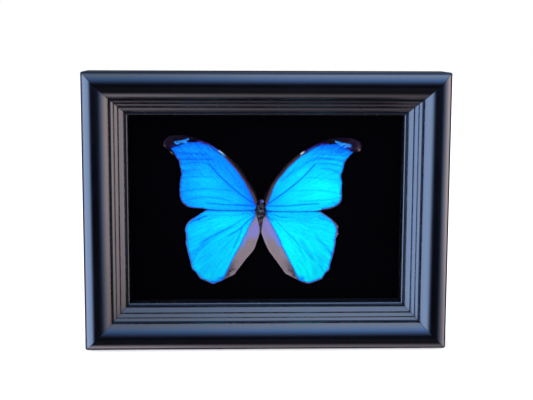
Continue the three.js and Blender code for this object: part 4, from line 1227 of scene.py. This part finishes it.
def hair_mesh(name, roots, dirs, lengths, radii, shades, curls, material):
    """Tapering three-sided hairs, each closed, bent once along its length."""
    n = len(roots)
    roots, dirs, curls = np.asarray(roots), np.asarray(dirs), np.asarray(curls)
    dirs = dirs / np.linalg.norm(dirs, axis=1)[:, None]
    ref = np.where(np.abs(dirs[:, 2:3]) < 0.9, np.array([[0.0, 0.0, 1.0]]), np.array([[1.0, 0.0, 0.0]]))
    u = np.cross(dirs, ref)
    u /= np.linalg.norm(u, axis=1)[:, None]
    v = np.cross(dirs, u)
    L = np.asarray(lengths)[:, None]
    R = np.asarray(radii)[:, None]
    midp = roots + dirs * L * 0.5 + curls * L * 0.16
    tip = roots + dirs * L * 0.9 + curls * L * 0.5
    P = np.zeros((n, 7, 3))
    for k in range(3):
        a = 2 * math.pi * k / 3
        off = u * math.cos(a) + v * math.sin(a)
        P[:, k] = roots + off * R
        P[:, 3 + k] = midp + off * R * 0.72
    P[:, 6] = tip
    verts = [seat(x, d, z) for x, d, z in P.reshape(-1, 3)]
    pat = [(0, 2, 1), (0, 1, 4), (0, 4, 3), (1, 2, 5), (1, 5, 4), (2, 0, 3), (2, 3, 5), (3, 4, 6), (4, 5, 6), (5, 3, 6)]
    faces = [tuple(7 * i + j for j in f) for i in range(n) for f in pat]
    o = mesh_object(name, verts, faces, [material])
    bm = bmesh.new()
    bm.from_mesh(o.data)
    bmesh.ops.recalc_face_normals(bm, faces=bm.faces)
    bm.to_mesh(o.data)
    bm.free()
    point_attr(o.data, "shade", np.repeat(shades, 7))
    return finish_piece(o)


make_body()
HAIR = hair_material()


def body_hair():
    rng = np.random.default_rng(3)
    # hair grows in tufts: each tuft has its own shade, lean and length
    tz = rng.uniform(-13.5, 6.9, 240)
    ta = rng.uniform(0, 2 * math.pi, 240)
    tr = np.array([body_radius(v) for v in tz])
    tufts = np.stack([tr * np.cos(ta), tr * np.sin(ta), tz], 1)
    pick = rng.uniform(0, 1, 240)
    tshade = np.where(pick < 0.52, 0.12 * pick, 0.42 + 1.0 * (pick - 0.52))
    tlean = rng.normal(0, 0.34, (240, 3))
    tlen = rng.uniform(0.6, 1.5, 240)
    roots, dirs, lens, rads, shades, curls = [], [], [], [], [], []
    n = 5600
    while len(roots) < n:
        z = rng.uniform(-13.5, 6.9)
        a = rng.uniform(0, 2 * math.pi)
        r = body_radius(z)
        if rng.uniform(0, 2.6) > r + 0.25:
            continue
        nx, nd = math.cos(a), math.sin(a)
        if nd > 0.55:
            continue
        k = int(np.argmin(np.sum((tufts - np.array([r * nx, r * nd, z])) ** 2, 1)))
        x, d = BODY_X + 0.93 * r * nx, BODY_D + 0.9 * r * nd
        thorax = smooth(np.array([z]), -5.2, -3.6)[0] * smooth(np.array([-z]), -5.0, -3.4)[0]
        length = (0.5 + 0.55 * thorax) * tlen[k] + rng.uniform(0, 0.25)
        if abs(nx) > 0.74 and abs(z + 0.2) < 3.2:
            length *= 1.0 + 0.5 * (tlen[k] > 1.0)
        if z > 4.6:
            length = 0.35 + rng.uniform(0, 0.4)
        if z < -5.2:
            length *= 0.6
        comb = -0.6 if z < 4 else 0.35
        dx = nx + tlean[k, 0] + rng.normal(0, 0.14)
        dd = nd + tlean[k, 1] + rng.normal(0, 0.14)
        dz = comb + tlean[k, 2] + rng.normal(0, 0.2)
        # dark neck and sides, a greyer back behind the pin, a dark waist
        s = tshade[k] * (0.8 + 0.4 * math.exp(-(((z + 2.6) / 2.4) ** 2)))
        s += 0.1 * math.exp(-(((z + 2.6) / 2.0) ** 2)) * (abs(nx) < 0.75) + 0.32 * math.exp(-(((z + 7.2) / 1.7) ** 2))
        s -= 0.45 * math.exp(-(((z + 4.6 - 0.6 * abs(nx)) / 0.45) ** 2)) + (0.10 + 0.26 * (abs(z + 0.2) < 3.2)) * (abs(nx) > 0.74) + 0.25 * smooth(np.array([-z]), 8.6, 10.5)[0]
        s += rng.normal(0, 0.04)
        s = min(max(s, 0.0), 0.76)
        # painted violet highlight on one side of the crown; elsewhere on the head the hair is darkened as painted shade
        if z > 3.9:
            s = 0.93 + 0.07 * rng.uniform() if nx > -0.3 and z > 4.6 and rng.uniform() < 0.85 else 0.3 * s
        roots.append((x, d, BODY_Z + z))
        dirs.append((dx, dd, dz))
        lens.append(length)
        rads.append(rng.uniform(0.035, 0.06))
        shades.append(s)
        curls.append((0.5 * tlean[k, 1] + rng.normal(0, 0.12), rng.normal(0, 0.15), -0.5 + rng.normal(0, 0.2)))
    return hair_mesh("body_hair", roots, dirs, lens, rads, shades, curls, HAIR)


body_hair()
lo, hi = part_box("specimen_pin")
PIN = [(0.0, BODY_D - 3.75), (0.2, BODY_D - 3.73), (0.4, BODY_D - 3.64), (0.52, BODY_D - 3.5), (0.55, BODY_D - 3.38), (0.5, BODY_D - 3.26),
       (0.36, BODY_D - 3.18), (0.2, BODY_D - 3.14), (0.18, BODY_D - 3.0), (0.18, 25.2), (0.0, 25.85)]
turned_piece("specimen_pin_fine", PIN, BODY_X + SET_X, BODY_Z, pin_steel(), "specimen_pin", 28)

# ------------------------------------------------------------------ stage, light and camera
bm = bmesh.new()
bmesh.ops.create_grid(bm, x_segments=8, y_segments=8, size=6.0)
me = bpy.data.meshes.new("floor")
bm.to_mesh(me)
bm.free()
floor = bpy.data.objects.new("floor", me)
me.materials.append(floor_pale())
bpy.context.scene.collection.objects.link(floor)
floor.visible_glossy = False

world = bpy.data.worlds.new("studio")
bpy.context.scene.world = world
world.use_nodes = True
wt = world.node_tree
wt.nodes.clear()


def wnode(kind, **props):
    n = wt.nodes.new(kind)
    for key, val in props.items():
        setattr(n, key, val)
    return n


def wput(socket, value):
    if isinstance(value, bpy.types.NodeSocket):
        wt.links.new(value, socket)
    else:
        socket.default_value = value


def wcalc(op, a, b=0.0, c=0.0):
    n = wnode("ShaderNodeMath", operation=op)
    wput(n.inputs[0], a)
    wput(n.inputs[1], b)
    if len(n.inputs) > 2:
        wput(n.inputs[2], c)
    return n.outputs[0]


def wspan(value, lo, hi):
    n = wnode("ShaderNodeMapRange", interpolation_type="SMOOTHSTEP")
    wput(n.inputs["Value"], value)
    n.inputs["From Min"].default_value = lo
    n.inputs["From Max"].default_value = hi
    return n.outputs["Result"]


def wmix(fac, a, b, blend="MIX"):
    n = wnode("ShaderNodeMix", data_type="RGBA", blend_type=blend)
    n.clamp_result = False
    n.clamp_factor = True
    wput(n.inputs[0], fac)
    wput(n.inputs[6], a)
    wput(n.inputs[7], b)
    return n.outputs[2]


direction = wnode("ShaderNodeTexCoord").outputs["Generated"]
split = wnode("ShaderNodeSeparateXYZ")
wput(split.inputs[0], direction)
dx, dy, dz = split.outputs
deg = 180 / math.pi
elev = wcalc("MULTIPLY", wcalc("ARCSINE", dz), deg)
azim = wcalc("MULTIPLY", wcalc("ARCTAN2", dx, wcalc("MULTIPLY", dy, -1.0)), deg)


def wramp(value, lo, hi, stops):
    """Brightness and colour along an angle; the stops hold a tenth of the radiance."""
    n = wnode("ShaderNodeValToRGB")
    r = n.color_ramp
    while len(r.elements) < len(stops):
        r.elements.new(0.5)
    for e, (at, col) in zip(r.elements, stops):
        e.position = (at - lo) / (hi - lo)
        e.color = (col[0] / 12, col[1] / 12, col[2] / 12, 1)
    flat = wnode("ShaderNodeMapRange")
    wput(flat.inputs["Value"], value)
    flat.inputs["From Min"].default_value = lo
    flat.inputs["From Max"].default_value = hi
    wput(n.inputs["Fac"], flat.outputs["Result"])
    up = wnode("ShaderNodeVectorMath", operation="SCALE")
    wput(up.inputs[0], n.outputs["Color"])
    up.inputs["Scale"].default_value = 12.0
    return up.outputs["Vector"]


def wmax(a, b):
    n = wnode("ShaderNodeVectorMath", operation="MAXIMUM")
    wput(n.inputs[0], a)
    wput(n.inputs[1], b)
    return n.outputs["Vector"]


def wscale(a, by):
    n = wnode("ShaderNodeVectorMath", operation="SCALE")
    wput(n.inputs[0], a)
    wput(n.inputs["Scale"], by)
    return n.outputs["Vector"]


wide = wcalc("ABSOLUTE", azim)
behind = wspan(wide, 85, 120)
lift = wcalc("SUBTRACT", elev, wcalc("MULTIPLY", behind, 32.0))
above = wramp(
    lift, -60, 90,
    [(-60, (0.06, 0.06, 0.08)), (-48, (0.1, 0.09, 0.14)), (-36, (0.15, 0.14, 0.23)), (-23, (0.14, 0.13, 0.22)), (-16, (0.06, 0.055, 0.09)),
     (-13.8, (0.012, 0.012, 0.02)), (-3.4, (0.012, 0.012, 0.02)), (-1.8, (0.1, 0.12, 0.26)), (0, (0.15, 0.18, 0.38)), (7, (0.24, 0.37, 0.8)),
     (14, (0.5, 0.78, 1.65)), (24, (0.78, 1.4, 3.2)), (34, (1.05, 2.3, 5.5)), (46, (1.6, 3.45, 7.6)), (64, (3.2, 4.4, 7.0)), (90, (3.8, 4.2, 5.2))],
)
# the bank of light overhead fades towards the left
above = wscale(above, wcalc("MULTIPLY_ADD", wspan(dx, -0.11, 0.08), 0.5, 0.52))
sides = wcalc("MULTIPLY", wspan(elev, -65, -40), wcalc("SUBTRACT", 1.0, wspan(elev, 40, 70)))
sides = wcalc("MULTIPLY", sides, wcalc("SUBTRACT", 1.0, wspan(wide, 104, 128)))
left = wscale(wramp(wcalc("MULTIPLY", azim, -1.0), 0, 180, [(20, (0, 0, 0)), (28, (0.2, 0.3, 0.7)), (34, (0.8, 1.2, 2.4)), (40.5, (2.3, 3.4, 5.8)), (48, (3.9, 5.6, 9.0)), (58, (4.7, 6.6, 10.3)), (85, (4.1, 5.9, 10.6))]), sides)
right = wscale(wramp(azim, 0, 180, [(14, (0, 0, 0)), (20, (0.05, 0.06, 0.13)), (33, (0.2, 0.28, 0.56)), (44, (0.7, 1.0, 2.0)), (56, (1.9, 2.4, 3.6)), (65, (3.4, 3.3, 4.1)), (74, (5.1, 4.45, 4.8)), (84, (6.2, 5.2, 5.4)), (100, (5.7, 4.75, 4.95))]), sides)
right = wscale(right, wcalc("MULTIPLY_ADD", wspan(wcalc("MULTIPLY", elev, -1.0), 10.4, 13.0), -0.5, 1.0))
glossy = wmax(wmax(above, left), right)
# the room behind the frame, greyer, seen only in the rounded outer edge
level = wspan(wcalc("ABSOLUTE", elev), 20, 55)
beyond = wmix(level, (2.7, 2.6, 3.1, 1), (0.85, 0.8, 0.95, 1))
beyond = wmix(wspan(dy, 0.6, 0.85), beyond, (0.06, 0.056, 0.068, 1))
glossy = wmix(wspan(dy, 0.1, 0.32), glossy, beyond)
under = wcalc("SUBTRACT", 1.0, wspan(elev, -80, -62))
low = wmix(wspan(wcalc("MULTIPLY", dx, -1.0), 0.022, 0.055), (1.6, 1.35, 1.6, 1), (3.4, 3.0, 3.6, 1))
glossy = wmix(under, glossy, low)
path = wnode("ShaderNodeLightPath")
shade = wmix(path.outputs["Is Glossy Ray"], (1.3, 1.3, 1.3, 1), glossy)
shade = wmix(path.outputs["Is Camera Ray"], shade, (1.0, 1.0, 1.0, 1))
bg = wnode("ShaderNodeBackground")
wput(bg.inputs["Color"], shade)
wt.links.new(bg.outputs[0], wnode("ShaderNodeOutputWorld").inputs["Surface"])
world.cycles.sampling_method = "NONE"


def area_light(name, where, look, size, power, color=(1, 1, 1)):
    data = bpy.data.lights.new(name, "AREA")
    data.energy, data.size, data.color = power, size, color
    o = bpy.data.objects.new(name, data)
    o.location = where
    o.rotation_euler = (Vector(look) - Vector(where)).to_track_quat("-Z", "Y").to_euler()
    o.visible_camera = False
    o.visible_glossy = False
    bpy.context.scene.collection.objects.link(o)
    return o


area_light("key", (-0.7, -1.1, 1.0), (0, 0, 0.09), 0.5, 5.0)

# camera
AX, AY, AZ = 0.14234, 0.0367, 0.0012
rx = np.array([[1, 0, 0], [0, math.cos(AX), -math.sin(AX)], [0, math.sin(AX), math.cos(AX)]])
ry = np.array([[math.cos(AY), 0, math.sin(AY)], [0, 1, 0], [-math.sin(AY), 0, math.cos(AY)]])
rz = np.array([[math.cos(AZ), -math.sin(AZ), 0], [math.sin(AZ), math.cos(AZ), 0], [0, 0, 1]])
R = rz @ ry @ rx
axes = [Vector((R[i, 0], -R[i, 2], R[i, 1])) for i in range(3)]
cam_data = bpy.data.cameras.new("camera")
cam_data.sensor_width = 36.0
cam_data.lens = 1100.0 / 533.0 * 36.0
cam_data.clip_start, cam_data.clip_end = 0.01, 50.0
cam = bpy.data.objects.new("camera", cam_data)
m = Matrix.Identity(4)
for i in range(3):
    for j in range(3):
        m[j][i] = axes[i][j]
m.translation = Vector((-0.02569, -0.69911, 0.19479))
cam.matrix_world = m
bpy.context.scene.collection.objects.link(cam)
bpy.context.scene.camera = cam
bpy.context.scene.view_settings.view_transform = "Standard"
bpy.context.scene.view_settings.look = "None"
bpy.context.scene.view_settings.exposure = 0.0
bpy.context.scene.view_settings.gamma = 1.0
